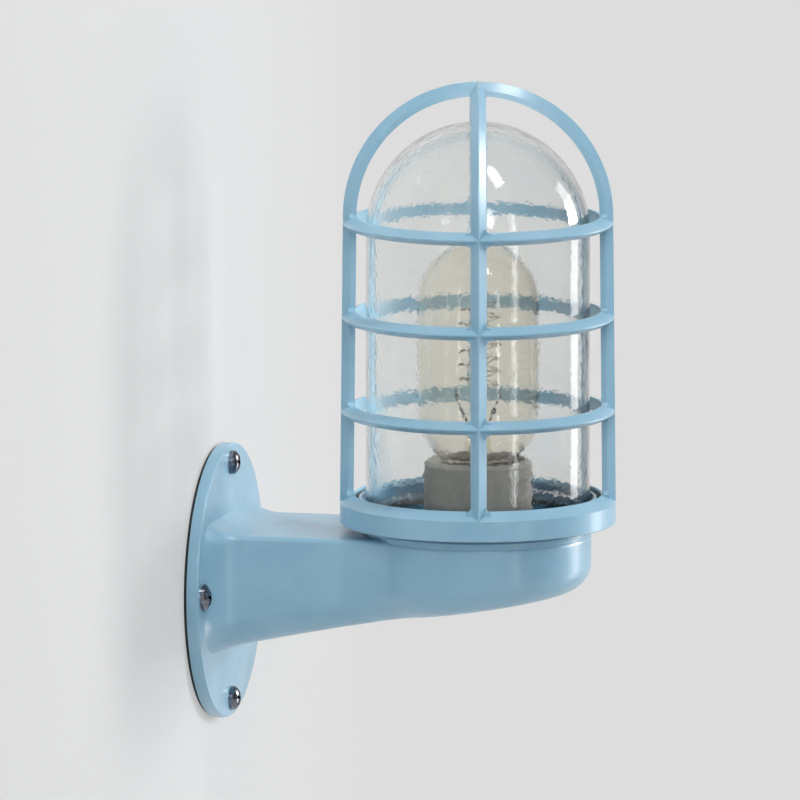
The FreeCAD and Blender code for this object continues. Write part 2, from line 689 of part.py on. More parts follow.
def make_lampholder_terminals():
    parts = []
    for side in (-1, 1):
        low, high = terminal_pocket(side, 0)
        high = V(high.x, low.y + TERMINAL_DEPTH - 0.8, high.z)
        bore_x = side * TERMINAL_SPREAD
        bore_z = (low.z + high.z) / 2
        entry = Part.makeCylinder(LEAD_RADIUS + 0.1, 3.0, V(bore_x, high.y + 0.01, bore_z), V(0, -1, 0))
        parts.append(block(low, high).cut(entry))
    return Part.makeCompound(parts)


def make_bridge_strap():
    strap = block((-STRAP_HALF_SPAN, AXIS_Y - STRAP_WIDTH / 2, STRAP_SEAT),
                  (STRAP_HALF_SPAN, AXIS_Y + STRAP_WIDTH / 2, HOLDER_FOOT))
    corners = [edge for edge in strap.Edges if edge.BoundBox.ZLength > STRAP_THICKNESS / 2]
    strap = strap.makeFillet(STRAP_WIDTH / 4, corners)
    holes = []
    for side in (-1, 1):
        for spread in (STRAP_SCREW_SPREAD, HOLDER_SCREW_SPREAD):
            holes.append(disc(PILOT_RADIUS + 0.2, STRAP_SEAT - 1, HOLDER_FOOT + 1, side * spread, AXIS_Y))
    return strap.cut(holes)


# ---------------------------------------------------------------- wiring


def block_centre_y():
    return FLANGE_BACK - BLOCK_REACH - BLOCK_DEPTH / 2


def make_terminal_block():
    """Three-pole terminal block with wire holes along Y and screw wells in the top."""
    y = block_centre_y()
    low = (-BLOCK_WIDTH / 2, y - BLOCK_DEPTH / 2, BLOCK_SEAT)
    high = (BLOCK_WIDTH / 2, y + BLOCK_DEPTH / 2, BLOCK_SEAT + BLOCK_HEIGHT * 0.6)
    parts = [block(low, high)]
    cuts = []
    wire_z = BLOCK_SEAT + BLOCK_HEIGHT * 0.35
    for pole in (-1, 0, 1):
        x = pole * POLE_PITCH
        tower = disc(2.9, BLOCK_SEAT + 1, BLOCK_SEAT + BLOCK_HEIGHT, x, y)
        parts.append(tower)
        cuts.append(disc(2.2, wire_z + 2.2, BLOCK_SEAT + BLOCK_HEIGHT + 1, x, y))
        cuts.append(Part.makeCylinder(LEAD_RADIUS + 0.15, BLOCK_DEPTH + 2, V(x, y + BLOCK_DEPTH / 2 + 1, wire_z),
                                      V(0, -1, 0)))
    cuts.append(disc(PILOT_RADIUS - 0.4, BLOCK_SEAT - 1, BLOCK_SEAT + BLOCK_HEIGHT, POLE_PITCH / 2, y))
    return fused(parts[0], parts[1:]).cut(cuts)


def make_clamp_screws():
    """Slotted clamp screws of the terminal block, one in each pole."""
    y = block_centre_y()
    foot = BLOCK_SEAT + BLOCK_HEIGHT * 0.35 + 2.2
    screws = []
    for pole in (-1, 0, 1):
        x = pole * POLE_PITCH
        screw = disc(1.9, foot, foot + 2.6, x, y)
        slot = block((x - 2.5, y - 0.3, foot + 1.8), (x + 2.5, y + 0.3, foot + 3))
        screws.append(screw.cut(slot))
    return Part.makeCompound(screws)


def make_block_screw():
    seat = BLOCK_SEAT + BLOCK_HEIGHT * 0.6
    length = BLOCK_HEIGHT * 0.6 + PILOT_DEPTH - 1
    return upright(pan_screw(1.5, 1.2, PILOT_RADIUS - 0.5, length), POLE_PITCH / 2, block_centre_y(), seat)


def make_lead_grommet():
    """Rubber grommet that grips both faces of the web between arm and cup."""
    web = FLANGE_BACK - WEB_REACH
    lip = 1.5
    groove = GROMMET_RADIUS - 0.1
    outer = GROMMET_RADIUS + 2.0
    outline = [(GROMMET_BORE, -lip), (outer, -lip), (outer, 0), (groove, 0), (groove, WEB_THICKNESS),
               (outer, WEB_THICKNESS), (outer, WEB_THICKNESS + lip), (GROMMET_BORE, WEB_THICKNESS + lip)]
    grommet = closed_face([(radius, 0, along) for radius, along in outline])
    grommet = grommet.revolve(V(0, 0, 0), V(0, 0, 1), 360)
    grommet.rotate(V(0, 0, 0), V(1, 0, 0), 90)
    grommet.translate(V(0, web, GROMMET_LEVEL))
    return grommet


def rounded_path(points):
    """Straight runs joined by tangent arcs as large as the runs allow."""
    edges = []
    previous = points[0]
    for index in range(1, len(points) - 1):
        corner = points[index]
        back = points[index - 1] - corner
        ahead = points[index + 1] - corner
        trim = 0.45 * min(back.Length, ahead.Length)
        back_dir = V(back).normalize()
        ahead_dir = V(ahead).normalize()
        begin = corner + back_dir * trim
        finish = corner + ahead_dir * trim
        half_turn = (math.pi - back_dir.getAngle(ahead_dir)) / 2
        radius = trim / math.tan(half_turn)
        inward = (back_dir + ahead_dir).normalize()
        middle = corner + inward * (radius / math.cos(half_turn) - radius)
        edges.append(Part.makeLine(previous, begin))
        edges.append(Part.Arc(begin, middle, finish).toShape())
        previous = finish
    edges.append(Part.makeLine(previous, points[-1]))
    return Part.Wire(edges)


def lead(points):
    path = rounded_path(points)
    start = path.Edges[0]
    direction = start.tangentAt(start.FirstParameter)
    circle = Part.makeCircle(LEAD_RADIUS, points[0], direction)
    return path.makePipeShell([Part.Wire([circle])], True, True)


def block_exit(pole):
    """Where a lead leaves the terminal block towards the cup."""
    y = block_centre_y() - BLOCK_DEPTH / 2
    return V(pole * POLE_PITCH, y + 2.5, BLOCK_SEAT + BLOCK_HEIGHT * 0.35)


def holder_lead(side):
    """A lead from the terminal block through the grommet to one lampholder terminal."""
    low, high = terminal_pocket(side, 0)
    end = V(side * TERMINAL_SPREAD, low.y + TERMINAL_DEPTH - 0.8 - 2.0, (low.z + high.z) / 2)
    start = block_exit(side)
    web = FLANGE_BACK - WEB_REACH
    points = [start, start + V(0, -9, 0), V(side * 4.5, start.y - 17, -5.0), V(side * 2.2, web + 8, GROMMET_LEVEL),
              V(side * 2.2, web - WEB_THICKNESS - 4, GROMMET_LEVEL + 0.6),
              V(side * 5.5, end.y + 9.5, end.z - 3.5), V(end.x, end.y + 5.5, end.z), end]
    return lead(points)


def make_live_lead():
    return holder_lead(-1)


def make_neutral_lead():
    return holder_lead(1)


def make_earth_screw():
    screw = pan_screw(3.2, 2.2, PILOT_RADIUS - 0.1, PILOT_DEPTH)
    return upright(screw, EARTH_SPOT[0], EARTH_SPOT[1], EARTH_SEAT + TAG_THICKNESS)


def make_earth_tag():
    """Ring tag under the earth screw, with a barrel for the earth lead."""
    x, y = EARTH_SPOT
    ring = disc(3.6, EARTH_SEAT, EARTH_SEAT + TAG_THICKNESS, x, y)
    tail = block((x - 1.6, y + 2, EARTH_SEAT), (x + 1.6, y + 8, EARTH_SEAT + TAG_THICKNESS))
    barrel = Part.makeCylinder(1.8, 4, V(x, y + 9, EARTH_SEAT + 1.8), V(0, -1, 0))
    tag = fused(ring, [tail, barrel])
    hole = disc(PILOT_RADIUS + 0.1, EARTH_SEAT - 1, EARTH_SEAT + 2, x, y)
    bore = Part.makeCylinder(LEAD_RADIUS + 0.05, 3.2, V(x, y + 9.01, EARTH_SEAT + 1.8), V(0, -1, 0))
    return tag.cut([hole, bore])


def make_earth_lead():
    x, y = EARTH_SPOT
    end = V(x, y + 6.2, EARTH_SEAT + 1.8)
    start = V(0, block_exit(0).y, block_exit(0).z)
    points = [start, start + V(0, -4.5, 0.2), V(7.5, start.y - 5.0, -3.2), V(15.5, start.y - 2.6, -3.0),
              V(x, y + 13.0, end.z), end]
    return lead(points)


# ---------------------------------------------------------------- lamp


def facing_frame(shape):
    """Turn the inside of the lamp so that its wires lie across the first rib."""
    shape.rotate(V(0, 0, 0), V(0, 0, 1), math.degrees(FACING))
    return on_axis(shape)


def envelope_edges(shrink):
    """Outline of the lamp's glass from neck to crown, shrunk by the wall for its inside."""
    radius = LAMP_RADIUS - shrink
    neck_radius = LAMP_NECK_RADIUS - shrink
    upper = LAMP_TOP - LAMP_RADIUS
    drop = math.sqrt(radius ** 2 - neck_radius ** 2)
    join = V(neck_radius, 0, LAMP_LOWER_CENTRE - drop)
    turn = math.atan2(drop, neck_radius) / 2
    lower = V(radius * math.cos(turn), 0, LAMP_LOWER_CENTRE - radius * math.sin(turn))
    side_low = V(radius, 0, LAMP_LOWER_CENTRE)
    side_high = V(radius, 0, upper)
    half = math.sqrt(0.5)
    shoulder = V(radius * half, 0, upper + radius * half)
    crown = V(0, 0, upper + radius)
    foot = V(neck_radius, 0, LAMP_NECK_END)
    return [Part.makeLine(foot, join), Part.Arc(join, lower, side_low).toShape(),
            Part.makeLine(side_low, side_high), Part.Arc(side_high, shoulder, crown).toShape()], foot, crown


def make_lamp_envelope():
    outside, foot, crown = envelope_edges(0)
    inside, inner_foot, inner_crown = envelope_edges(LAMP_WALL)
    edges = outside + inside + [Part.makeLine(foot, inner_foot), Part.makeLine(crown, inner_crown)]
    wire = Part.Wire(Part.__sortEdges__(edges))
    return on_axis(Part.Face(wire).revolve(V(0, 0, 0), V(0, 0, 1), 360))


def make_lamp_cap():
    inner = CAP_RADIUS - CAP_WALL
    return sleeve(inner, CAP_RADIUS, CAP_BOTTOM, CAP_TOP)


def make_lamp_insulator():
    narrow = LAMP_FOOT + CAP_CONTACT_HEIGHT
    return turned([(0, narrow), (CAP_CONTACT_RADIUS + 0.8, narrow), (CAP_RADIUS - 0.05, CAP_BOTTOM), (0, CAP_BOTTOM)])


def make_lamp_contact():
    top = LAMP_FOOT + CAP_CONTACT_HEIGHT
    return turned([(0, LAMP_FOOT), (CAP_CONTACT_RADIUS - 1, LAMP_FOOT), (CAP_CONTACT_RADIUS, LAMP_FOOT + 0.7),
                   (CAP_CONTACT_RADIUS, top), (0, top)])


def make_lamp_stem():
    """Flared glass stem, its pinch and the rod that carries the hooks."""
    rim = LAMP_NECK_RADIUS - LAMP_WALL - 0.15
    flare = turned([(rim - 1.2, LAMP_NECK_END), (rim, LAMP_NECK_END), (STEM_RADIUS, STEM_TOP - 3),
                    (STEM_RADIUS, STEM_TOP), (0, STEM_TOP), (0, STEM_TOP - 4), (STEM_RADIUS - 1.2, STEM_TOP - 5)])
    pinch = facing_frame(block((-4.6, -1.7, STEM_TOP - 1), (4.6, 1.7, PINCH_TOP)))
    rod = on_axis(disc(ROD_RADIUS, PINCH_TOP - 1, ROD_TOP))
    button = on_axis(disc(ROD_RADIUS * 1.8, ROD_TOP - 1, ROD_TOP + 1.6))
    return fused(flare, [pinch, rod, button])


def wire_run(points, radius):
    """A wire of six-sided section along straight runs."""
    path = Part.makePolygon(points)
    along = (points[1] - points[0]).normalize()
    across = along.cross(V(0.3, 0.5, 0.81)).normalize()
    other = along.cross(across)
    ring = [points[0] + across * (radius * math.cos(math.radians(60 * step)))
            + other * (radius * math.sin(math.radians(60 * step))) for step in range(6)]
    section = Part.makePolygon(ring + ring[:1])
    return path.makePipeShell([section], True, False, 1)


def make_lead_in_wires():
    """Two wires that leave the pinch, open out at an elbow and stand up beside the hooks."""
    wires = []
    for side, elbow in ((-1, 70.7), (1, 71.6)):
        spread = side * (CAGE_FILAMENT_RADIUS - 0.6)
        points = [V(side * 3.0, 0, PINCH_TOP + 0.02), V(side * 3.4, 0, PINCH_TOP + 3), V(spread, 0, elbow),
                  V(spread, 0, FILAMENT_LOW - 1.5)]
        wires.append(facing_frame(wire_run(points, 0.35)))
    return Part.makeCompound(wires)


def hook_point(index, radius):
    """The filament hooks climb round the rod like the steps of a spiral stair."""
    angle = 2 * math.pi * index / HOOKS_PER_TURN
    return polar(radius, angle, FILAMENT_LOW + FILAMENT_PITCH * index / HOOKS_PER_TURN)


def make_filament_hooks():
    hooks = []
    for index in range(FILAMENT_HOOKS):
        inner = hook_point(index, ROD_RADIUS + 0.05)
        outer = hook_point(index, CAGE_FILAMENT_RADIUS - 2 * FILAMENT_WIRE)
        hooks.append(wire_run([inner, outer], HOOK_WIRE))
    return facing_frame(Part.makeCompound(hooks))


def make_filament():
    points = [hook_point(index, CAGE_FILAMENT_RADIUS) for index in range(FILAMENT_HOOKS)]
    return facing_frame(wire_run(points, FILAMENT_WIRE))


MAKERS = {
    "wall_bracket": make_wall_bracket,
    "wall_gasket": make_wall_gasket,
    "mounting_screws": make_mounting_screws,
    "guard": make_guard,
    "guard_seal": make_guard_seal,
    "glass_jar": make_glass_jar,
    "glass_gasket": make_glass_gasket,
    "lampholder_body": make_lampholder_body,
    "lampholder_shell": make_lampholder_shell,
    "centre_contact": make_centre_contact,
    "lampholder_terminals": make_lampholder_terminals,
    "bridge_strap": make_bridge_strap,
    "strap_screws": make_strap_screws,
    "lampholder_screws": make_holder_screws,
    "terminal_block": make_terminal_block,
    "clamp_screws": make_clamp_screws,
    "block_screw": make_block_screw,
    "lead_grommet": make_lead_grommet,
    "live_lead": make_live_lead,
    "neutral_lead": make_neutral_lead,
    "earth_screw": make_earth_screw,
    "earth_tag": make_earth_tag,
    "earth_lead": make_earth_lead,
    "lamp_envelope": make_lamp_envelope,
    "lamp_cap": make_lamp_cap,
    "lamp_insulator": make_lamp_insulator,
    "lamp_contact": make_lamp_contact,
    "lamp_stem": make_lamp_stem,
    "lead_in_wires": make_lead_in_wires,
    "filament_hooks": make_filament_hooks,
    "filament": make_filament,
}

os.makedirs("parts", exist_ok=True)
for node, maker in MAKERS.items():
    shape = maker()
    if not shape.isValid():
        raise ValueError(node + " is not a valid solid")
    shape.exportStep("parts/" + node + ".step")
    print(node, len(shape.Solids), round(shape.Volume, 1))
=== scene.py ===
"""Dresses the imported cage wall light: paint, glass, porcelain, lamp, stage and camera."""

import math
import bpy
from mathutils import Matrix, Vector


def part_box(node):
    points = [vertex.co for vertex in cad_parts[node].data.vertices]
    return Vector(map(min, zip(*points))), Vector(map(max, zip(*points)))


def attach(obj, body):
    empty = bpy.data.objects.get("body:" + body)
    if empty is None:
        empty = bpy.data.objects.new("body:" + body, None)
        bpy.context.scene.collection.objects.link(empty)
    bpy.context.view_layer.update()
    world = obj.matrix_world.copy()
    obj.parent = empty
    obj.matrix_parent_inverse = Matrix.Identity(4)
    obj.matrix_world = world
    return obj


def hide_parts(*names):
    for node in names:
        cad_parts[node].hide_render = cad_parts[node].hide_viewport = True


bl_info = {
    "name": "Cage Wall Light",
    "version": (1, 0, 0),
    "blender": (4, 5, 0),
    "location": "View3D > Sidebar > Wall Light",
    "description": "Dresses a wall light with a cast arm, a ribbed guard and a domed glass jar",
    "category": "Object",
}

import bmesh
import bpy
from bpy.props import FloatProperty, FloatVectorProperty, IntProperty, PointerProperty
from mathutils import Matrix, Vector

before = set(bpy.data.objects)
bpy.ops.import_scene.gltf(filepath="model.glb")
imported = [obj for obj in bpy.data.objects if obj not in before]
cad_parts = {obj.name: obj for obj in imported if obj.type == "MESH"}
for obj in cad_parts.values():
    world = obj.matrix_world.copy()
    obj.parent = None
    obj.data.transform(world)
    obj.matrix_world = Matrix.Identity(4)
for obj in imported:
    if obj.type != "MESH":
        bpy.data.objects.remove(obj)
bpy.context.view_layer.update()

MM = 0.001
FULL_TURN = 2 * math.pi
MERGE_REACH = 0.001 * MM

JAR_LOW, JAR_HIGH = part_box("glass_jar")
CAGE_AXIS = Vector(((JAR_LOW.x + JAR_HIGH.x) / 2, (JAR_LOW.y + JAR_HIGH.y) / 2, 0))
LAMP_LOW, LAMP_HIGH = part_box("lamp_envelope")
CAP_LOW, CAP_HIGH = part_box("lamp_cap")
SHELL_LOW, SHELL_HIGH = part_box("lampholder_shell")
HOLDER_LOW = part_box("lampholder_body")[0]
GASKET_LOW, GASKET_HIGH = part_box("glass_gasket")
FOOT_RADIUS = (JAR_HIGH.x - JAR_LOW.x) / 2
NECK_REACH = FOOT_RADIUS + 0.8 * MM
CUP_REACH = NECK_REACH - 4.1 * MM
NECK_LEVEL = GASKET_HIGH.z + 12 * MM

# Glass jar: eased foot, level rings up the wall, steps over the dome, thread on the foot.
JAR_FOOT_CHAMFER = 0.5 * MM
JAR_FOOT_EASE = 0.6 * MM
JAR_INNER_EASE = 0.8 * MM
JAR_FOOT_HEIGHT = 3 * MM
JAR_RINGS = 12
JAR_DOME_STEPS = 40
JAR_THREAD_PROUD = 0.9 * MM
JAR_THREAD_HEIGHT = 1.5 * MM
JAR_THREAD_DEPTH = 0.85 * MM
JAR_THREAD_START = 1.2 * MM
JAR_THREAD_TURNS = 1.1
RIDGE_ROOT = 0.05 * MM
RIDGE_FLAT = 0.12
RIDGE_STEPS = 72

# Lamp and lampholder shell: neck under the lower round, sheet walls, rolled threads.
LAMP_NECK_RADIUS = 12.6 * MM
LAMP_NECK_BLEND = 2.5 * MM
LAMP_LOWER_CENTRE = 66.5 * MM
LAMP_BLEND_ANGLE = 4
LAMP_LOWER_STEPS = 20
LAMP_DOME_STEPS = 28
CAP_WALL = 0.2 * MM
SHELL_WALL = 0.4 * MM
SHELL_THREAD_DEPTH = 0.6 * MM
TURNED_STEPS = 96
METAL_SKIN = 0.008 * MM

# Stage: each lamp with its place from the aim, its size, its setting and its share of that.
STAGE_LAMPS = (
    ("key_lamp", (0.95, -1.14, 0.22), (0.40, 0.45), "key_power", 1.0),
    ("side_strip", (0.90, -1.08, 0.0), (0.34, 1.5), "strip_power", 2.8),
    ("front_strip", (-1.00, -1.28, 0.05), (0.10, 1.5), "strip_power", 1.0),
    ("fill_lamp", (-1.50, -0.55, 0.75), (0.6, 0.6), "fill_power", 1.0),
    ("top_lamp", (-0.35, -0.45, 1.35), (0.16, 0.5), "top_power", 1.0),
)
HIDDEN_BEHIND_GLASS = ("key_lamp", "side_strip")
LAMP_AIM = CAGE_AXIS + Vector((0, 0.02, 0.07))
AMBIENT_COLOUR = (0.92, 0.95, 1, 1)
AMBIENT_STRENGTH = 0.27
FLOOR_LEVEL = -0.6
PLANE_REACH = 4.0
WALL_GLOW = 0.4
FLOOR_GLOW = 0.7
CAMERA_TARGET = Vector((-6.676, -71.156, 70.314)) * MM


def linear(red, green, blue):
    """A colour read as 0-255 screen values, as the linear colour that Blender works in."""
    def one(value):
        share = value / 255
        return share / 12.92 if share <= 0.04045 else ((share + 0.055) / 1.055) ** 2.4
    return one(red), one(green), one(blue)


# ---------------------------------------------------------------- settings


class WallLightPaint(bpy.types.PropertyGroup):
    colour: FloatVectorProperty(
        name="Paint colour", description="Main colour of the powder coat",
        subtype="COLOR", size=3, min=0, max=1, default=linear(140, 181, 203))
    worn_colour: FloatVectorProperty(
        name="Second colour", description="Slightly deeper blue in the thin places of the coat",
        subtype="COLOR", size=3, min=0, max=1, default=linear(127, 171, 194))
    # Painted shade: a darker, more saturated blue stands in for the shadow inside the cup round
    # the lampholder, over the thinner coat there.
    painted_shade_colour: FloatVectorProperty(
        name="Inside colour", description="Thin dark coat inside the cup",
        subtype="COLOR", size=3, min=0, max=1, default=linear(52, 100, 128))
    roughness: FloatProperty(
        name="Roughness", description="How matt the coat is",
        subtype="FACTOR", min=0, max=1, default=0.38)
    skin_depth: FloatProperty(
        name="Skin depth", description="Depth of the coat's fine orange-peel skin",
        subtype="DISTANCE", unit="LENGTH", min=0, max=0.001, default=0.00002)


class WallLightGlass(bpy.types.PropertyGroup):
    colour: FloatVectorProperty(
        name="Glass colour", description="Faint tint of the pressed glass",
        subtype="COLOR", size=3, min=0, max=1, default=(0.985, 0.99, 0.985))
    wall: FloatProperty(
        name="Wall", description="Thickness of the jar's wall",
        subtype="DISTANCE", unit="LENGTH", min=0.001, max=0.01, default=0.0033)
    ripple_depth: FloatProperty(
        name="Ripple depth", description="Height of the unevenness left by the mould",
        subtype="DISTANCE", unit="LENGTH", min=0, max=0.001, default=0.00007)
    thread_pitch: FloatProperty(
        name="Thread pitch", description="Rise of the jar's thread in one turn",
        subtype="DISTANCE", unit="LENGTH", min=0.001, max=0.01, default=0.0024)


class WallLightLamp(bpy.types.PropertyGroup):
    tint: FloatVectorProperty(
        name="Lamp tint", description="Amber tint of the lamp's glass",
        subtype="COLOR", size=3, min=0, max=1, default=(0.992, 0.968, 0.915))
    wall: FloatProperty(
        name="Wall", description="Thickness of the lamp's glass",
        subtype="DISTANCE", unit="LENGTH", min=0.0003, max=0.002, default=0.0008)
    thread_pitch: FloatProperty(
        name="Cap thread pitch", description="Rise of the cap's thread in one turn",
        subtype="DISTANCE", unit="LENGTH", min=0.001, max=0.01, default=0.00363)
    thread_depth: FloatProperty(
        name="Cap thread depth", description="Depth of the rolled thread",
        subtype="DISTANCE", unit="LENGTH", min=0.0001, max=0.002, default=0.0007)


class WallLightStage(bpy.types.PropertyGroup):
    azimuth: FloatProperty(
        name="Azimuth", description="Direction the camera looks from",
        subtype="ANGLE", unit="ROTATION", default=math.radians(-76.53))
    elevation: FloatProperty(
        name="Elevation", description="Height of the camera above the horizon",
        subtype="ANGLE", unit="ROTATION", default=math.radians(8.33))
    distance: FloatProperty(
        name="Distance", description="From the camera to the point it looks at",
        subtype="DISTANCE", unit="LENGTH", min=1, max=20, default=7.1587)
    lens: FloatProperty(
        name="Lens", description="Focal length of the camera", min=20, max=2000, default=876.9)
    backdrop: FloatVectorProperty(
        name="Backdrop", description="Colour of the wall and the background",
        subtype="COLOR", size=3, min=0, max=1, default=linear(221, 221, 221))
    key_power: FloatProperty(
        name="Key light", description="Power of the soft lamp at the right", unit="POWER",
        min=0, max=500, default=14)
    strip_power: FloatProperty(
        name="Strip lights", description="Power of the narrow upright lamp at the front",
        unit="POWER", min=0, max=500, default=2.5)
    fill_power: FloatProperty(
        name="Fill light", description="Power of the wide lamp beside the camera", unit="POWER",
        min=0, max=500, default=7)
    top_power: FloatProperty(
        name="Top light", description="Power of the narrow lamp overhead", unit="POWER",
        min=0, max=500, default=8)
    sides: IntProperty(
        name="Turned sides", description="Steps round a turned glass", min=24, max=256,
        default=128)


# ---------------------------------------------------------------- node groups


def math_node(nodes, operation, first=None, second=None):
    node = nodes.new("ShaderNodeMath")
    node.operation = operation
    for socket, value in zip(node.inputs, (first, second)):
        if value is not None:
            socket.default_value = value
    return node


def range_node(nodes, low, high, to_low=0.0, to_high=1.0):
    node = nodes.new("ShaderNodeMapRange")
    for label, value in (("From Min", low), ("From Max", high),
                         ("To Min", to_low), ("To Max", to_high)):
        node.inputs[label].default_value = value
    return node


def blend_node(nodes, kind="MIX"):
    node = nodes.new("ShaderNodeMix")
    node.data_type = "RGBA"
    node.blend_type = kind
    return node


def new_group(name, inputs, outputs):
    group = bpy.data.node_groups.new(name, "ShaderNodeTree")
    for socket, kind, default in inputs:
        made = group.interface.new_socket(name=socket, in_out="INPUT", socket_type=kind)
        if default is not None:
            made.default_value = default
    for socket, kind in outputs:
        group.interface.new_socket(name=socket, in_out="OUTPUT", socket_type=kind)
    return group, group.nodes.new("NodeGroupInput"), group.nodes.new("NodeGroupOutput")


def cloud_group():
    """Two close colours that drift into each other, with a mask for the roughness."""
    name = "Drifting Colour"
    if name in bpy.data.node_groups:
        return bpy.data.node_groups[name]
    group, given, result = new_group(
        name,
        [("Colour", "NodeSocketColor", (0.5, 0.5, 0.5, 1)),
         ("Second Colour", "NodeSocketColor", (0.4, 0.4, 0.4, 1)),
         ("Scale", "NodeSocketFloat", 60), ("Contrast", "NodeSocketFloat", 1)],
        [("Colour", "NodeSocketColor"), ("Mask", "NodeSocketFloat")])
    nodes, links = group.nodes, group.links
    place = nodes.new("ShaderNodeTexCoord")
    noise = nodes.new("ShaderNodeTexNoise")
    noise.inputs["Detail"].default_value = 6
    noise.inputs["Roughness"].default_value = 0.6
    spread = range_node(nodes, 0.35, 0.65)
    strength = math_node(nodes, "MULTIPLY")
    strength.use_clamp = True
    blend = blend_node(nodes)
    links.new(place.outputs["Object"], noise.inputs["Vector"])
    links.new(given.outputs["Scale"], noise.inputs["Scale"])
    links.new(noise.outputs["Fac"], spread.inputs["Value"])
    links.new(spread.outputs["Result"], strength.inputs[0])
    links.new(given.outputs["Contrast"], strength.inputs[1])
    links.new(strength.outputs[0], blend.inputs["Factor"])
    links.new(given.outputs["Colour"], blend.inputs["A"])
    links.new(given.outputs["Second Colour"], blend.inputs["B"])
    links.new(blend.outputs["Result"], result.inputs["Colour"])
    links.new(strength.outputs[0], result.inputs["Mask"])
    return group


def skin_group():
    """Fine skin over a slow waviness, as one normal."""
    name = "Skin And Waves"
    if name in bpy.data.node_groups:
        return bpy.data.node_groups[name]
    group, given, result = new_group(
        name,
        [("Fine Scale", "NodeSocketFloat", 900), ("Fine Depth", "NodeSocketFloat", 0.00002),
         ("Slow Scale", "NodeSocketFloat", 60), ("Slow Depth", "NodeSocketFloat", 0.0001)],
        [("Normal", "NodeSocketVector")])
    nodes, links = group.nodes, group.links
    place = nodes.new("ShaderNodeTexCoord")
    bumps = []
    for size, depth in (("Slow Scale", "Slow Depth"), ("Fine Scale", "Fine Depth")):
        noise = nodes.new("ShaderNodeTexNoise")
        noise.inputs["Detail"].default_value = 3
        bump = nodes.new("ShaderNodeBump")
        links.new(place.outputs["Object"], noise.inputs["Vector"])
        links.new(given.outputs[size], noise.inputs["Scale"])
        links.new(noise.outputs["Fac"], bump.inputs["Height"])
        links.new(given.outputs[depth], bump.inputs["Distance"])
        bumps.append(bump)
    links.new(bumps[0].outputs["Normal"], bumps[1].inputs["Normal"])
    links.new(bumps[1].outputs["Normal"], result.inputs["Normal"])
    return group


def speck_group():
    """Small round specks scattered over a ground colour."""
    name = "Scattered Specks"
    if name in bpy.data.node_groups:
        return bpy.data.node_groups[name]
    group, given, result = new_group(
        name,
        [("Ground", "NodeSocketColor", (0.8, 0.8, 0.8, 1)),
         ("Speck", "NodeSocketColor", (0.2, 0.2, 0.2, 1)),
         ("Scale", "NodeSocketFloat", 900), ("Size", "NodeSocketFloat", 0.25)],
        [("Colour", "NodeSocketColor"), ("Mask", "NodeSocketFloat")])
    nodes, links = group.nodes, group.links
    place = nodes.new("ShaderNodeTexCoord")
    cells = nodes.new("ShaderNodeTexVoronoi")
    near = math_node(nodes, "LESS_THAN")
    blend = blend_node(nodes)
    links.new(place.outputs["Object"], cells.inputs["Vector"])
    links.new(given.outputs["Scale"], cells.inputs["Scale"])
    links.new(cells.outputs["Distance"], near.inputs[0])
    links.new(given.outputs["Size"], near.inputs[1])
    links.new(near.outputs[0], blend.inputs["Factor"])
    links.new(given.outputs["Ground"], blend.inputs["A"])
    links.new(given.outputs["Speck"], blend.inputs["B"])
    links.new(blend.outputs["Result"], result.inputs["Colour"])
    links.new(near.outputs[0], result.inputs["Mask"])
    return group


# ---------------------------------------------------------------- materials


def new_material(name):
    material = bpy.data.materials.new(name)
    material.use_nodes = True
    return material, material.node_tree.nodes, material.node_tree.links


def surface_of(material):
    return material.node_tree.nodes["Principled BSDF"]


def add_group(material, group, **values):
    node = material.node_tree.nodes.new("ShaderNodeGroup")
    node.node_tree = group
    for label, value in values.items():
        node.inputs[label.replace("_", " ")].default_value = value
    return node


def drift(material, colour, second, scale, contrast=1.0):
    """Feed the base colour from two drifting colours and return the group for its mask."""
    node = add_group(material, cloud_group(), Colour=(*colour, 1), Second_Colour=(*second, 1),
                     Scale=scale, Contrast=contrast)
    material.node_tree.links.new(node.outputs["Colour"], surface_of(material).inputs["Base Color"])
    return node


def vary_roughness(material, mask, low, high):
    nodes, links = material.node_tree.nodes, material.node_tree.links
    spread = range_node(nodes, 0, 1, low, high)
    links.new(mask, spread.inputs["Value"])
    links.new(spread.outputs["Result"], surface_of(material).inputs["Roughness"])


def skin(material, fine_scale, fine_depth, slow_scale, slow_depth):
    node = add_group(material, skin_group(), Fine_Scale=fine_scale, Fine_Depth=fine_depth,
                     Slow_Scale=slow_scale, Slow_Depth=slow_depth)
    material.node_tree.links.new(node.outputs["Normal"], surface_of(material).inputs["Normal"])


def painted_shade_cup_mask(material):
    """A mask that is 1 on the inside of the cup and of the neck, round the lampholder, where the
    paint takes its painted shade.
    """
    nodes, links = material.node_tree.nodes, material.node_tree.links
    place = nodes.new("ShaderNodeTexCoord")
    parts = nodes.new("ShaderNodeSeparateXYZ")
    across = math_node(nodes, "SUBTRACT", None, CAGE_AXIS.y)
    flat = nodes.new("ShaderNodeCombineXYZ")
    away = nodes.new("ShaderNodeVectorMath")
    away.operation = "LENGTH"
    reach = range_node(nodes, GASKET_LOW.z - 0.4 * MM, GASKET_LOW.z - 0.2 * MM,
                       CUP_REACH, NECK_REACH)
    within = math_node(nodes, "LESS_THAN")
    level = math_node(nodes, "COMPARE", None, (HOLDER_LOW.z + NECK_LEVEL) / 2)
    level.inputs[2].default_value = (NECK_LEVEL - HOLDER_LOW.z) / 2
    both = math_node(nodes, "MULTIPLY")
    links.new(place.outputs["Object"], parts.inputs["Vector"])
    links.new(parts.outputs["X"], flat.inputs["X"])
    links.new(parts.outputs["Y"], across.inputs[0])
    links.new(across.outputs[0], flat.inputs["Y"])
    links.new(flat.outputs["Vector"], away.inputs[0])
    links.new(parts.outputs["Z"], reach.inputs["Value"])
    links.new(away.outputs["Value"], within.inputs[0])
    links.new(reach.outputs["Result"], within.inputs[1])
    links.new(parts.outputs["Z"], level.inputs[0])
    links.new(within.outputs[0], both.inputs[0])
    links.new(level.outputs[0], both.inputs[1])
    return both.outputs[0]


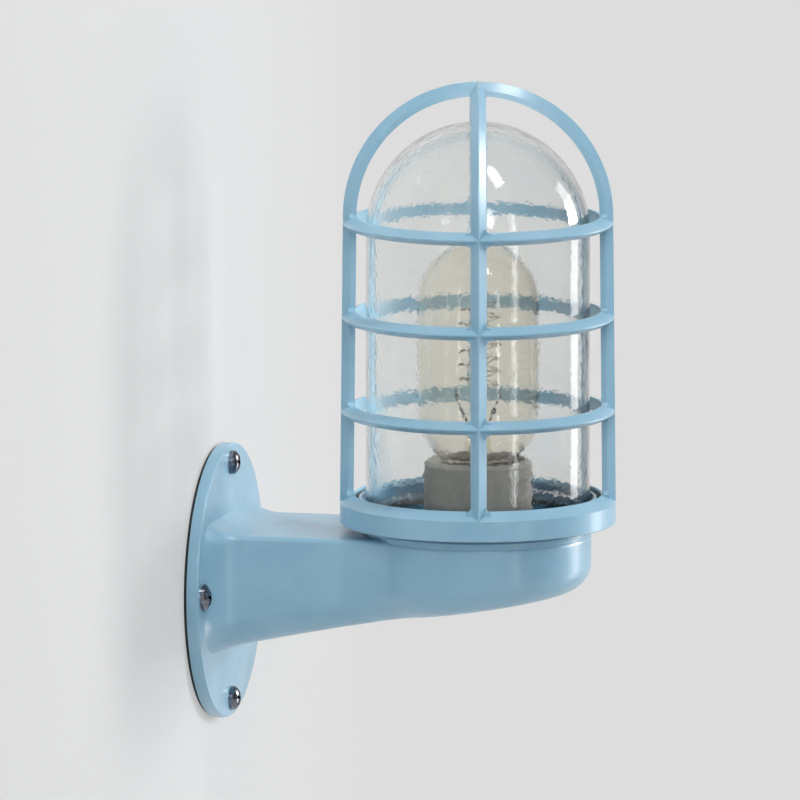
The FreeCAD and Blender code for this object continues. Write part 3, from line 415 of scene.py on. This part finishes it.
def paint_material(settings):
    material, nodes, links = new_material("Blue Powder Coat")
    mask = drift(material, settings.colour, settings.worn_colour, 45, 0.8).outputs["Mask"]
    vary_roughness(material, mask, settings.roughness - 0.04, settings.roughness + 0.06)
    skin(material, 1100, settings.skin_depth, 70, 0.0001)
    surface = surface_of(material)
    # Painted shade: inside the cup and neck the coat turns to the darker blue, for the shadowed
    # recess and its thinner coat.
    thin = blend_node(nodes)
    thin.inputs["B"].default_value = (*settings.painted_shade_colour, 1)
    links.new(painted_shade_cup_mask(material), thin.inputs["Factor"])
    links.new(surface.inputs["Base Color"].links[0].from_socket, thin.inputs["A"])
    links.new(thin.outputs["Result"], surface.inputs["Base Color"])
    surface.inputs["Coat Weight"].default_value = 0.5
    surface.inputs["Coat Roughness"].default_value = 0.22
    return material


def rubber_material():
    material = new_material("Black Rubber")[0]
    mask = drift(material, linear(12, 18, 17), linear(24, 32, 30), 300).outputs["Mask"]
    vary_roughness(material, mask, 0.55, 0.8)
    skin(material, 1500, 0.00002, 200, 0.00005)
    return material


def metal_material(name, colour, second, low, high, scale):
    material = new_material(name)[0]
    mask = drift(material, colour, second, scale).outputs["Mask"]
    vary_roughness(material, mask, low, high)
    skin(material, 2500, METAL_SKIN, 300, METAL_SKIN * 2)
    surface_of(material).inputs["Metallic"].default_value = 1
    return material


def plastic_material(name, colour, second, roughness):
    material = new_material(name)[0]
    mask = drift(material, colour, second, 350).outputs["Mask"]
    vary_roughness(material, mask, roughness - 0.05, roughness + 0.08)
    skin(material, 1800, 0.00001, 240, 0.00003)
    return material


def glass_material(name, tint, fine_scale, fine_depth, slow_scale, slow_depth, murk, density):
    """Clear glass with an uneven surface and a body colour that deepens along the wall."""
    material, nodes, links = new_material(name)
    surface = surface_of(material)
    surface.inputs["Base Color"].default_value = (*tint, 1)
    surface.inputs["Roughness"].default_value = 0.0
    surface.inputs["IOR"].default_value = 1.5
    surface.inputs["Transmission Weight"].default_value = 1
    skin(material, fine_scale, fine_depth, slow_scale, slow_depth)
    if density:
        body = nodes.new("ShaderNodeVolumeAbsorption")
        body.inputs["Color"].default_value = (*murk, 1)
        body.inputs["Density"].default_value = density
        links.new(body.outputs["Volume"], nodes["Material Output"].inputs["Volume"])
    return material


def porcelain_material():
    material, nodes, links = new_material("Bare Porcelain")
    specks = add_group(material, speck_group(), Ground=(*linear(120, 120, 115), 1),
                       Speck=(*linear(98, 94, 88), 1), Scale=800, Size=0.16)
    clouds = add_group(material, cloud_group(), Colour=(1, 1, 1, 1),
                       Second_Colour=(0.80, 0.78, 0.76, 1), Scale=260, Contrast=0.9)
    both = blend_node(nodes, "MULTIPLY")
    both.inputs["Factor"].default_value = 1
    links.new(specks.outputs["Colour"], both.inputs["A"])
    links.new(clouds.outputs["Colour"], both.inputs["B"])
    links.new(both.outputs["Result"], surface_of(material).inputs["Base Color"])
    vary_roughness(material, clouds.outputs["Mask"], 0.55, 0.8)
    skin(material, 1400, 0.00004, 260, 0.00012)
    return material


def striped_sleeve():
    """Green sleeving with a yellow stripe on one side."""
    material = plastic_material("Earth Sleeve", linear(56, 132, 40), linear(48, 118, 36), 0.42)
    nodes, links = material.node_tree.nodes, material.node_tree.links
    place = nodes.new("ShaderNodeTexCoord")
    parts = nodes.new("ShaderNodeSeparateXYZ")
    wave = math_node(nodes, "PINGPONG", None, 1.2 * MM)
    above = math_node(nodes, "GREATER_THAN", None, 0.7 * MM)
    blend = blend_node(nodes)
    blend.inputs["B"].default_value = (*linear(214, 190, 40), 1)
    surface = surface_of(material)
    green = surface.inputs["Base Color"].links[0].from_socket
    links.new(place.outputs["Object"], parts.inputs["Vector"])
    links.new(parts.outputs["X"], wave.inputs[0])
    links.new(wave.outputs[0], above.inputs[0])
    links.new(above.outputs[0], blend.inputs["Factor"])
    links.new(green, blend.inputs["A"])
    links.new(blend.outputs["Result"], surface.inputs["Base Color"])
    return material


def glazed_black():
    material = new_material("Black Glass Insulator")[0]
    mask = drift(material, linear(16, 14, 18), linear(34, 30, 38), 500).outputs["Mask"]
    vary_roughness(material, mask, 0.08, 0.2)
    skin(material, 1500, 0.00001, 220, 0.00004)
    surface_of(material).inputs["Coat Weight"].default_value = 0.5
    return material


# ---------------------------------------------------------------- shapes


def place_object(name, data):
    made = bpy.data.objects.new(name, data)
    bpy.context.scene.collection.objects.link(made)
    return made


def finish_mesh(form, name, material, body):
    """Turn a bmesh into a named piece of the light that rides on a body."""
    mesh = bpy.data.meshes.new(name)
    form.to_mesh(mesh)
    form.free()
    piece = place_object(name, mesh)
    piece.data.materials.append(material)
    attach(piece, body)
    return piece


def smooth_by_angle(form, angle):
    for face in form.faces:
        face.smooth = True
    for edge in form.edges:
        edge.smooth = len(edge.link_faces) == 2 and edge.calc_face_angle(0) < angle


def dressed_copy(node, name, material, body, sharp=math.radians(30), bevel=0.0):
    """A merged copy of a CAD node with soft shading and, if asked, eased edges."""
    form = bmesh.new()
    form.from_mesh(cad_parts[node].data)
    bmesh.ops.remove_doubles(form, verts=form.verts, dist=2e-6)
    bmesh.ops.dissolve_degenerate(form, edges=form.edges, dist=1e-6)
    smooth_by_angle(form, sharp)
    piece = finish_mesh(form, name, material, body)
    if "custom_normal" in piece.data.attributes:
        piece.data.attributes.remove(piece.data.attributes["custom_normal"])
    if bevel:
        ease = piece.modifiers.new("Eased edges", "BEVEL")
        ease.width = bevel
        ease.segments = 2
        ease.limit_method = "ANGLE"
        ease.angle_limit = sharp
    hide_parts(node)
    return piece


def outline(form, points):
    """A chain of vertices through (radius, height) points beside the cage's axis."""
    corners = [form.verts.new(CAGE_AXIS + Vector((radius, 0, height)))
               for radius, height in points]
    for first, second in zip(corners, corners[1:]):
        form.edges.new((first, second))
    return corners


def spin_outline(form, points, steps):
    """Turn an open outline once about the axis of the cage."""
    outline(form, points)
    bmesh.ops.spin(form, geom=form.verts[:] + form.edges[:], cent=CAGE_AXIS, axis=(0, 0, 1),
                   angle=FULL_TURN, steps=steps, use_merge=True)
    bmesh.ops.remove_doubles(form, verts=form.verts, dist=MERGE_REACH)
    bmesh.ops.recalc_face_normals(form, faces=form.faces)


def glass_shell(outside, inside, steps, sharp):
    """A closed glass wall between an outer and an inner outline, both turned."""
    form = bmesh.new()
    for points in (outside, inside):
        turned = bmesh.new()
        spin_outline(turned, points, steps)
        sheet = bpy.data.meshes.new("glass_sheet")
        turned.to_mesh(sheet)
        turned.free()
        form.from_mesh(sheet)
        bpy.data.meshes.remove(sheet)
    bmesh.ops.remove_doubles(form, verts=form.verts, dist=MERGE_REACH)
    bmesh.ops.recalc_face_normals(form, faces=form.faces)
    smooth_by_angle(form, sharp)
    return form


def arc_points(centre_height, radius, start, end, count):
    """(radius, height) points on an arc about a point on the axis, between two angles."""
    for step in range(count + 1):
        angle = math.radians(start + (end - start) * step / count)
        yield radius * math.cos(angle), centre_height + radius * math.sin(angle)


def ridge(name, material, body, radius, height, depth, low, turns, pitch):
    """One helical ridge of a screw thread, closed at both ends."""
    form = bmesh.new()
    foot, crest = radius - RIDGE_ROOT, radius + depth
    section = [(foot, low - height / 2), (crest, low - height * RIDGE_FLAT),
               (crest, low + height * RIDGE_FLAT), (foot, low + height / 2)]
    corners = outline(form, section)
    form.edges.new((corners[-1], corners[0]))
    steps = int(RIDGE_STEPS * turns)
    bmesh.ops.spin(form, geom=form.verts[:] + form.edges[:], cent=CAGE_AXIS, axis=(0, 0, 1),
                   dvec=(0, 0, pitch * turns / steps), angle=FULL_TURN * turns, steps=steps,
                   use_merge=False)
    bmesh.ops.holes_fill(form, edges=form.edges, sides=4)
    bmesh.ops.recalc_face_normals(form, faces=form.faces)
    smooth_by_angle(form, math.radians(50))
    return finish_mesh(form, name, material, body)


# ---------------------------------------------------------------- operators


class WALLLIGHT_OT_casting(bpy.types.Operator):
    """Paint the cast bracket with its arm, cup and neck"""
    bl_idname = "walllight.casting"
    bl_label = "Cast Bracket"

    def execute(self, context):
        material = paint_material(context.scene.wall_light_paint)
        dressed_copy("wall_bracket", "bracket_casting", material, "bracket",
                     math.radians(32))
        return {"FINISHED"}


class WALLLIGHT_OT_guard(bpy.types.Operator):
    """Paint the ribbed guard"""
    bl_idname = "walllight.guard"
    bl_label = "Ribbed Guard"

    def execute(self, context):
        material = bpy.data.materials["Blue Powder Coat"]
        dressed_copy("guard", "guard_casting", material, "cage", math.radians(24))
        return {"FINISHED"}


class WALLLIGHT_OT_rubber(bpy.types.Operator):
    """Give the gaskets, the packing ring and the grommet their rubber"""
    bl_idname = "walllight.rubber"
    bl_label = "Gaskets"

    def execute(self, context):
        material = rubber_material()
        for node in ("wall_gasket", "glass_gasket", "guard_seal", "lead_grommet"):
            body = "seal" if node == "guard_seal" else "bracket"
            dressed_copy(node, node + "_rubber", material, body)
        return {"FINISHED"}


class WALLLIGHT_OT_screws(bpy.types.Operator):
    """Finish the screws and the small metal parts"""
    bl_idname = "walllight.screws"
    bl_label = "Screws And Small Metal"

    def execute(self, context):
        chrome = metal_material("Bright Chrome", linear(150, 152, 162), linear(84, 86, 96),
                                0.08, 0.2, 600)
        zinc = metal_material("Zinc Plate", linear(176, 178, 176), linear(150, 152, 152),
                              0.28, 0.42, 260)
        brass = metal_material("Plain Brass", linear(196, 160, 92), linear(168, 132, 70),
                               0.2, 0.36, 320)
        finishes = {
            "mounting_screws": (chrome, "screw_chrome"), "bridge_strap": (zinc, "zinc_steel"),
            "strap_screws": (zinc, "zinc_steel"), "lampholder_screws": (zinc, "zinc_steel"),
            "block_screw": (zinc, "zinc_steel"), "earth_tag": (zinc, "zinc_steel"),
            "clamp_screws": (brass, "brass"), "earth_screw": (brass, "brass"),
            "centre_contact": (brass, "brass"), "lampholder_terminals": (brass, "brass"),
        }
        for node, (material, slot) in finishes.items():
            dressed_copy(node, node + "_finish", material, "bracket")
        return {"FINISHED"}


class WALLLIGHT_OT_wiring(bpy.types.Operator):
    """Colour the terminal block and the three inner leads"""
    bl_idname = "walllight.wiring"
    bl_label = "Inner Wiring"

    def execute(self, context):
        nylon = plastic_material("Moulded Nylon", linear(232, 230, 220), linear(220, 217, 205),
                                 0.45)
        brown = plastic_material("Brown Sleeve", linear(92, 56, 36), linear(80, 47, 29), 0.4)
        blue = plastic_material("Blue Sleeve", linear(48, 92, 158), linear(40, 80, 142), 0.4)
        for node, material, slot in (
                ("terminal_block", nylon, "nylon"), ("live_lead", brown, "live_sleeve"),
                ("neutral_lead", blue, "neutral_sleeve"),
                ("earth_lead", striped_sleeve(), "earth_sleeve")):
            dressed_copy(node, node + "_finish", material, "bracket")
        return {"FINISHED"}


class WALLLIGHT_OT_holder(bpy.types.Operator):
    """Make the porcelain lampholder and its threaded brass shell"""
    bl_idname = "walllight.holder"
    bl_label = "Lampholder"

    def execute(self, context):
        settings = context.scene.wall_light_lamp
        dressed_copy("lampholder_body", "holder_porcelain", porcelain_material(), "bracket",
                     math.radians(30), 0.0003)
        brass = bpy.data.materials["Plain Brass"]
        outer = (SHELL_HIGH.x - SHELL_LOW.x) / 2
        floor = SHELL_LOW.z + 0.2 * MM
        points = [(outer - 4 * MM, floor), (outer - 1 * MM, floor)]
        height = SHELL_LOW.z + 3 * MM
        swing = SHELL_THREAD_DEPTH / 2
        while height < SHELL_HIGH.z - 4 * MM:
            phase = FULL_TURN * (height - SHELL_LOW.z) / settings.thread_pitch
            points.append((outer - 0.35 * MM + swing * math.cos(phase), height))
            height += settings.thread_pitch / 8
        points += [(outer - 0.1 * MM, SHELL_HIGH.z - 2 * MM), (outer, SHELL_HIGH.z)]
        form = bmesh.new()
        spin_outline(form, points, TURNED_STEPS)
        bmesh.ops.solidify(form, geom=form.faces[:], thickness=SHELL_WALL)
        smooth_by_angle(form, math.radians(50))
        shell = finish_mesh(form, "holder_screw_shell", brass, "bracket")
        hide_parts("lampholder_shell")
        return {"FINISHED"}


class WALLLIGHT_OT_jar(bpy.types.Operator):
    """Blow the domed glass jar with its thread"""
    bl_idname = "walllight.jar"
    bl_label = "Glass Jar"

    def execute(self, context):
        settings = context.scene.wall_light_glass
        steps = context.scene.wall_light_stage.sides
        radius = FOOT_RADIUS - JAR_THREAD_PROUD
        inner = radius - settings.wall
        dome = JAR_HIGH.z - radius
        foot = JAR_LOW.z
        points = [(inner, foot + JAR_INNER_EASE), (inner + JAR_FOOT_CHAMFER, foot),
                  (radius - JAR_FOOT_CHAMFER, foot), (radius, foot + JAR_FOOT_EASE)]
        start = foot + JAR_FOOT_HEIGHT
        levels = [start + (dome - start) * step / JAR_RINGS for step in range(JAR_RINGS)]
        points += [(radius, level) for level in levels]
        points += arc_points(dome, radius, 0, 90, JAR_DOME_STEPS)
        inside = list(arc_points(dome, inner, 90, 0, JAR_DOME_STEPS))
        inside += [(inner, level) for level in reversed(levels)]
        points[-1] = (0, dome + radius)
        inside[0] = (0, dome + inner)
        material = glass_material("Pressed Jar Glass", settings.colour, 420, settings.ripple_depth,
                                  60, settings.ripple_depth * 2, (0.38, 0.49, 0.44), 18)
        form = glass_shell(points, inside + [points[0]], steps, math.radians(25))
        jar = finish_mesh(form, "jar_body", material, "jar")
        jar.visible_shadow = False
        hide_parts("glass_jar")
        thread = ridge("jar_thread", material, "jar", radius, JAR_THREAD_HEIGHT,
                       JAR_THREAD_DEPTH, foot + JAR_THREAD_START, JAR_THREAD_TURNS,
                       settings.thread_pitch)
        thread.visible_shadow = False
        return {"FINISHED"}


class WALLLIGHT_OT_lamp(bpy.types.Operator):
    """Make the tubular lamp: glass, threaded cap, insulator and wires"""
    bl_idname = "walllight.lamp"
    bl_label = "Lamp"

    def execute(self, context):
        settings = context.scene.wall_light_lamp
        steps = context.scene.wall_light_stage.sides
        radius = (LAMP_HIGH.x - LAMP_LOW.x) / 2
        neck = LAMP_NECK_RADIUS
        top = LAMP_HIGH.z - radius
        low = LAMP_LOWER_CENTRE
        drop = math.sqrt(radius ** 2 - neck ** 2)
        turn = math.degrees(math.atan2(drop, neck))

        def profile(inset):
            size = radius - inset
            points = [(neck - inset, LAMP_LOW.z), (neck - inset, low - drop - LAMP_NECK_BLEND)]
            points += arc_points(low, size, LAMP_BLEND_ANGLE - turn, 0, LAMP_LOWER_STEPS)
            points += arc_points(top, size, 0, 90, LAMP_DOME_STEPS)
            points[-1] = (0, top + size)
            return points

        glass = glass_material("Amber Lamp Glass", settings.tint, 500, 0.000002, 60, 0.00003,
                               (0.72, 0.70, 0.62), 160)
        outside = profile(0)
        inside = list(reversed(profile(settings.wall))) + [outside[0]]
        form = glass_shell(outside, inside, steps, math.radians(60))
        bulb = finish_mesh(form, "lamp_bulb", glass, "lamp")
        bulb.visible_shadow = False
        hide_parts("lamp_envelope")
        stem = dressed_copy("lamp_stem", "lamp_stem_glass", glass, "lamp")
        stem.visible_shadow = False
        self.make_cap(settings)
        dressed_copy("lamp_insulator", "lamp_insulator_glaze", glazed_black(), "lamp")
        dressed_copy("lamp_contact", "lamp_contact_finish", bpy.data.materials["Cap Metal"],
                     "lamp")
        wire = metal_material("Drawn Wire", linear(150, 142, 130), linear(96, 88, 80),
                              0.25, 0.4, 700)
        for node in ("filament_hooks", "filament"):
            dressed_copy(node, node + "_finish", wire, "lamp", math.radians(65))
        support = metal_material("Support Wire", linear(74, 70, 64), linear(46, 43, 40),
                                 0.3, 0.45, 600)
        dressed_copy("lead_in_wires", "lead_in_wires_finish", support, "lamp",
                     math.radians(65))
        return {"FINISHED"}

    def make_cap(self, settings):
        """Cap shell with its rolled thread, closed to the insulator at the foot."""
        outer = (CAP_HIGH.x - CAP_LOW.x) / 2
        metal = metal_material("Cap Metal", linear(206, 196, 170), linear(184, 172, 144),
                               0.18, 0.32, 400)
        points = [(outer - 1.2 * MM, CAP_LOW.z), (outer - 0.6 * MM, CAP_LOW.z + 0.6 * MM)]
        height = CAP_LOW.z + 1.2 * MM
        while height < CAP_HIGH.z - 5 * MM:
            phase = FULL_TURN * (height - CAP_LOW.z) / settings.thread_pitch
            points.append((outer - settings.thread_depth / 2 * (1 - math.cos(phase)), height))
            height += settings.thread_pitch / 10
        points += [(outer - 0.4 * MM, CAP_HIGH.z - 4.5 * MM), (outer - 0.2 * MM, CAP_HIGH.z)]
        form = bmesh.new()
        spin_outline(form, points, TURNED_STEPS)
        bmesh.ops.solidify(form, geom=form.faces[:], thickness=CAP_WALL)
        smooth_by_angle(form, math.radians(50))
        cap = finish_mesh(form, "lamp_threaded_cap", metal, "lamp")
        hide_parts("lamp_cap")


class WALLLIGHT_OT_stage(bpy.types.Operator):
    """Set the wall, floor, lamps and camera"""
    bl_idname = "walllight.stage"
    bl_label = "Stage"

    def execute(self, context):
        settings = context.scene.wall_light_stage
        scene = context.scene
        scene.view_settings.view_transform = "Standard"
        self.make_world(settings)
        self.make_wall(settings)
        self.make_floor(settings)
        for name, offset, size, setting, share in STAGE_LAMPS:
            self.make_lamp(name, offset, size, getattr(settings, setting) * share)
        self.make_camera(scene, settings)
        return {"FINISHED"}

    def make_lamp(self, name, offset, size, power):
        data = bpy.data.lights.new(name, "AREA")
        data.energy = power
        data.shape = "RECTANGLE"
        data.size, data.size_y = size
        lamp = place_object(name, data)
        lamp.location = LAMP_AIM + Vector(offset)
        lamp.rotation_euler = (LAMP_AIM - lamp.location).to_track_quat("-Z", "Y").to_euler()
        lamp.visible_transmission = name not in HIDDEN_BEHIND_GLASS

    def backdrop_share(self, nodes, links):
        """A mask that is 1 for rays that should see the plain background."""
        path = nodes.new("ShaderNodeLightPath")
        first = math_node(nodes, "MAXIMUM")
        second = math_node(nodes, "MAXIMUM")
        links.new(path.outputs["Is Camera Ray"], first.inputs[0])
        links.new(path.outputs["Is Glossy Ray"], first.inputs[1])
        links.new(first.outputs[0], second.inputs[0])
        links.new(path.outputs["Is Transmission Ray"], second.inputs[1])
        return second.outputs[0]

    def dim_side(self, settings, nodes, links):
        """Strength of the background: dim at the camera's right, where glass edges mirror it."""
        place = nodes.new("ShaderNodeTexCoord")
        side = nodes.new("ShaderNodeVectorMath")
        side.operation = "DOT_PRODUCT"
        side.inputs[1].default_value = (math.cos(settings.azimuth), math.sin(settings.azimuth), 0)
        fall = range_node(nodes, 0.3, 0.8, 1, 0.22)
        path = nodes.new("ShaderNodeLightPath")
        level = math_node(nodes, "MAXIMUM")
        links.new(place.outputs["Generated"], side.inputs[0])
        links.new(side.outputs["Value"], fall.inputs["Value"])
        links.new(fall.outputs["Result"], level.inputs[0])
        links.new(path.outputs["Is Camera Ray"], level.inputs[1])
        return level.outputs[0]

    def make_world(self, settings):
        world = bpy.data.worlds.new("Studio")
        bpy.context.scene.world = world
        world.use_nodes = True
        nodes, links = world.node_tree.nodes, world.node_tree.links
        ambient = nodes["Background"]
        ambient.inputs["Color"].default_value = AMBIENT_COLOUR
        ambient.inputs["Strength"].default_value = AMBIENT_STRENGTH
        plain = nodes.new("ShaderNodeBackground")
        plain.inputs["Color"].default_value = (*settings.backdrop, 1)
        links.new(self.dim_side(settings, nodes, links), plain.inputs["Strength"])
        mix = nodes.new("ShaderNodeMixShader")
        links.new(self.backdrop_share(nodes, links), mix.inputs[0])
        links.new(ambient.outputs[0], mix.inputs[1])
        links.new(plain.outputs[0], mix.inputs[2])
        links.new(mix.outputs[0], nodes["World Output"].inputs["Surface"])

    def stage_material(self, name, settings, glow):
        """Diffuse paint that also glows a little for the eye, and vanishes from behind."""
        material, nodes, links = new_material(name)
        nodes.remove(nodes["Principled BSDF"])
        noise = nodes.new("ShaderNodeTexNoise")
        noise.inputs["Scale"].default_value = 8
        tone = range_node(nodes, 0, 1, 0.64, 0.66)
        place = nodes.new("ShaderNodeTexCoord")
        links.new(place.outputs["Object"], noise.inputs["Vector"])
        links.new(noise.outputs["Fac"], tone.inputs["Value"])
        paint = nodes.new("ShaderNodeBsdfDiffuse")
        links.new(tone.outputs["Result"], paint.inputs["Color"])
        light = nodes.new("ShaderNodeEmission")
        light.inputs["Color"].default_value = (*settings.backdrop, 1)
        parts = nodes.new("ShaderNodeSeparateXYZ")
        along = range_node(nodes, -0.05, 0.25, glow, 1)
        links.new(place.outputs["Object"], parts.inputs["Vector"])
        links.new(parts.outputs["X"], along.inputs["Value"])
        share = math_node(nodes, "MULTIPLY")
        links.new(self.backdrop_share(nodes, links), share.inputs[0])
        links.new(along.outputs["Result"], share.inputs[1])
        front = nodes.new("ShaderNodeMixShader")
        links.new(share.outputs[0], front.inputs[0])
        links.new(paint.outputs[0], front.inputs[1])
        links.new(light.outputs[0], front.inputs[2])
        facing = nodes.new("ShaderNodeNewGeometry")
        clear = nodes.new("ShaderNodeBsdfTransparent")
        whole = nodes.new("ShaderNodeMixShader")
        links.new(facing.outputs["Backfacing"], whole.inputs[0])
        links.new(front.outputs[0], whole.inputs[1])
        links.new(clear.outputs[0], whole.inputs[2])
        links.new(whole.outputs[0], nodes["Material Output"].inputs["Surface"])
        return material

    def stage_plane(self, name, size, turn, material):
        form = bmesh.new()
        bmesh.ops.create_grid(form, x_segments=2, y_segments=2, size=size, matrix=turn)
        mesh = bpy.data.meshes.new(name)
        form.to_mesh(mesh)
        form.free()
        plane = place_object(name, mesh)
        mesh.materials.append(material)
        return plane

    def make_wall(self, settings):
        upright = Matrix.Rotation(math.radians(90), 4, "X")
        material = self.stage_material("Pale Wall", settings, WALL_GLOW)
        wall = self.stage_plane("back_wall", PLANE_REACH, upright, material)
        wall.visible_shadow = False

    def make_floor(self, settings):
        level = Matrix.Translation((0, 0, FLOOR_LEVEL))
        material = self.stage_material("Pale Floor", settings, FLOOR_GLOW)
        self.stage_plane("floor", PLANE_REACH, level, material)

    def make_camera(self, scene, settings):
        turn, tilt = settings.azimuth, settings.elevation
        back = Vector((math.sin(turn) * math.cos(tilt), -math.cos(turn) * math.cos(tilt),
                       math.sin(tilt)))
        data = bpy.data.cameras.new("camera")
        data.lens = settings.lens
        data.clip_end = 50
        camera = place_object("camera", data)
        camera.location = CAMERA_TARGET + back * settings.distance
        camera.rotation_euler = (-back).to_track_quat("-Z", "Y").to_euler()
        scene.camera = camera


class WALLLIGHT_PT_panel(bpy.types.Panel):
    """Lists the pieces of the wall light"""
    bl_idname = "WALLLIGHT_PT_panel"
    bl_label = "Cage Wall Light"
    bl_space_type = "VIEW_3D"
    bl_region_type = "UI"
    bl_category = "Wall Light"

    def draw(self, context):
        layout = self.layout
        for operator in PIECES:
            layout.operator(operator.bl_idname)
        for settings in (context.scene.wall_light_paint, context.scene.wall_light_glass,
                         context.scene.wall_light_lamp, context.scene.wall_light_stage):
            box = layout.box()
            for label in settings.bl_rna.properties.keys():
                if label not in ("rna_type", "name"):
                    box.prop(settings, label)


SETTINGS = {
    "wall_light_paint": WallLightPaint, "wall_light_glass": WallLightGlass,
    "wall_light_lamp": WallLightLamp, "wall_light_stage": WallLightStage,
}
PIECES = (
    WALLLIGHT_OT_casting, WALLLIGHT_OT_guard, WALLLIGHT_OT_rubber, WALLLIGHT_OT_screws,
    WALLLIGHT_OT_wiring, WALLLIGHT_OT_holder, WALLLIGHT_OT_jar, WALLLIGHT_OT_lamp,
    WALLLIGHT_OT_stage,
)


def register():
    for name, settings in SETTINGS.items():
        bpy.utils.register_class(settings)
        setattr(bpy.types.Scene, name, PointerProperty(type=settings))
    for operator in PIECES:
        bpy.utils.register_class(operator)
    bpy.utils.register_class(WALLLIGHT_PT_panel)


def unregister():
    bpy.utils.unregister_class(WALLLIGHT_PT_panel)
    for operator in reversed(PIECES):
        bpy.utils.unregister_class(operator)
    for name, settings in SETTINGS.items():
        delattr(bpy.types.Scene, name)
        bpy.utils.unregister_class(settings)


def main():
    register()
    bpy.ops.walllight.casting()
    bpy.ops.walllight.guard()
    bpy.ops.walllight.rubber()
    bpy.ops.walllight.screws()
    bpy.ops.walllight.wiring()
    bpy.ops.walllight.holder()
    bpy.ops.walllight.jar()
    bpy.ops.walllight.lamp()
    bpy.ops.walllight.stage()


if __name__ == "__main__":
    main()
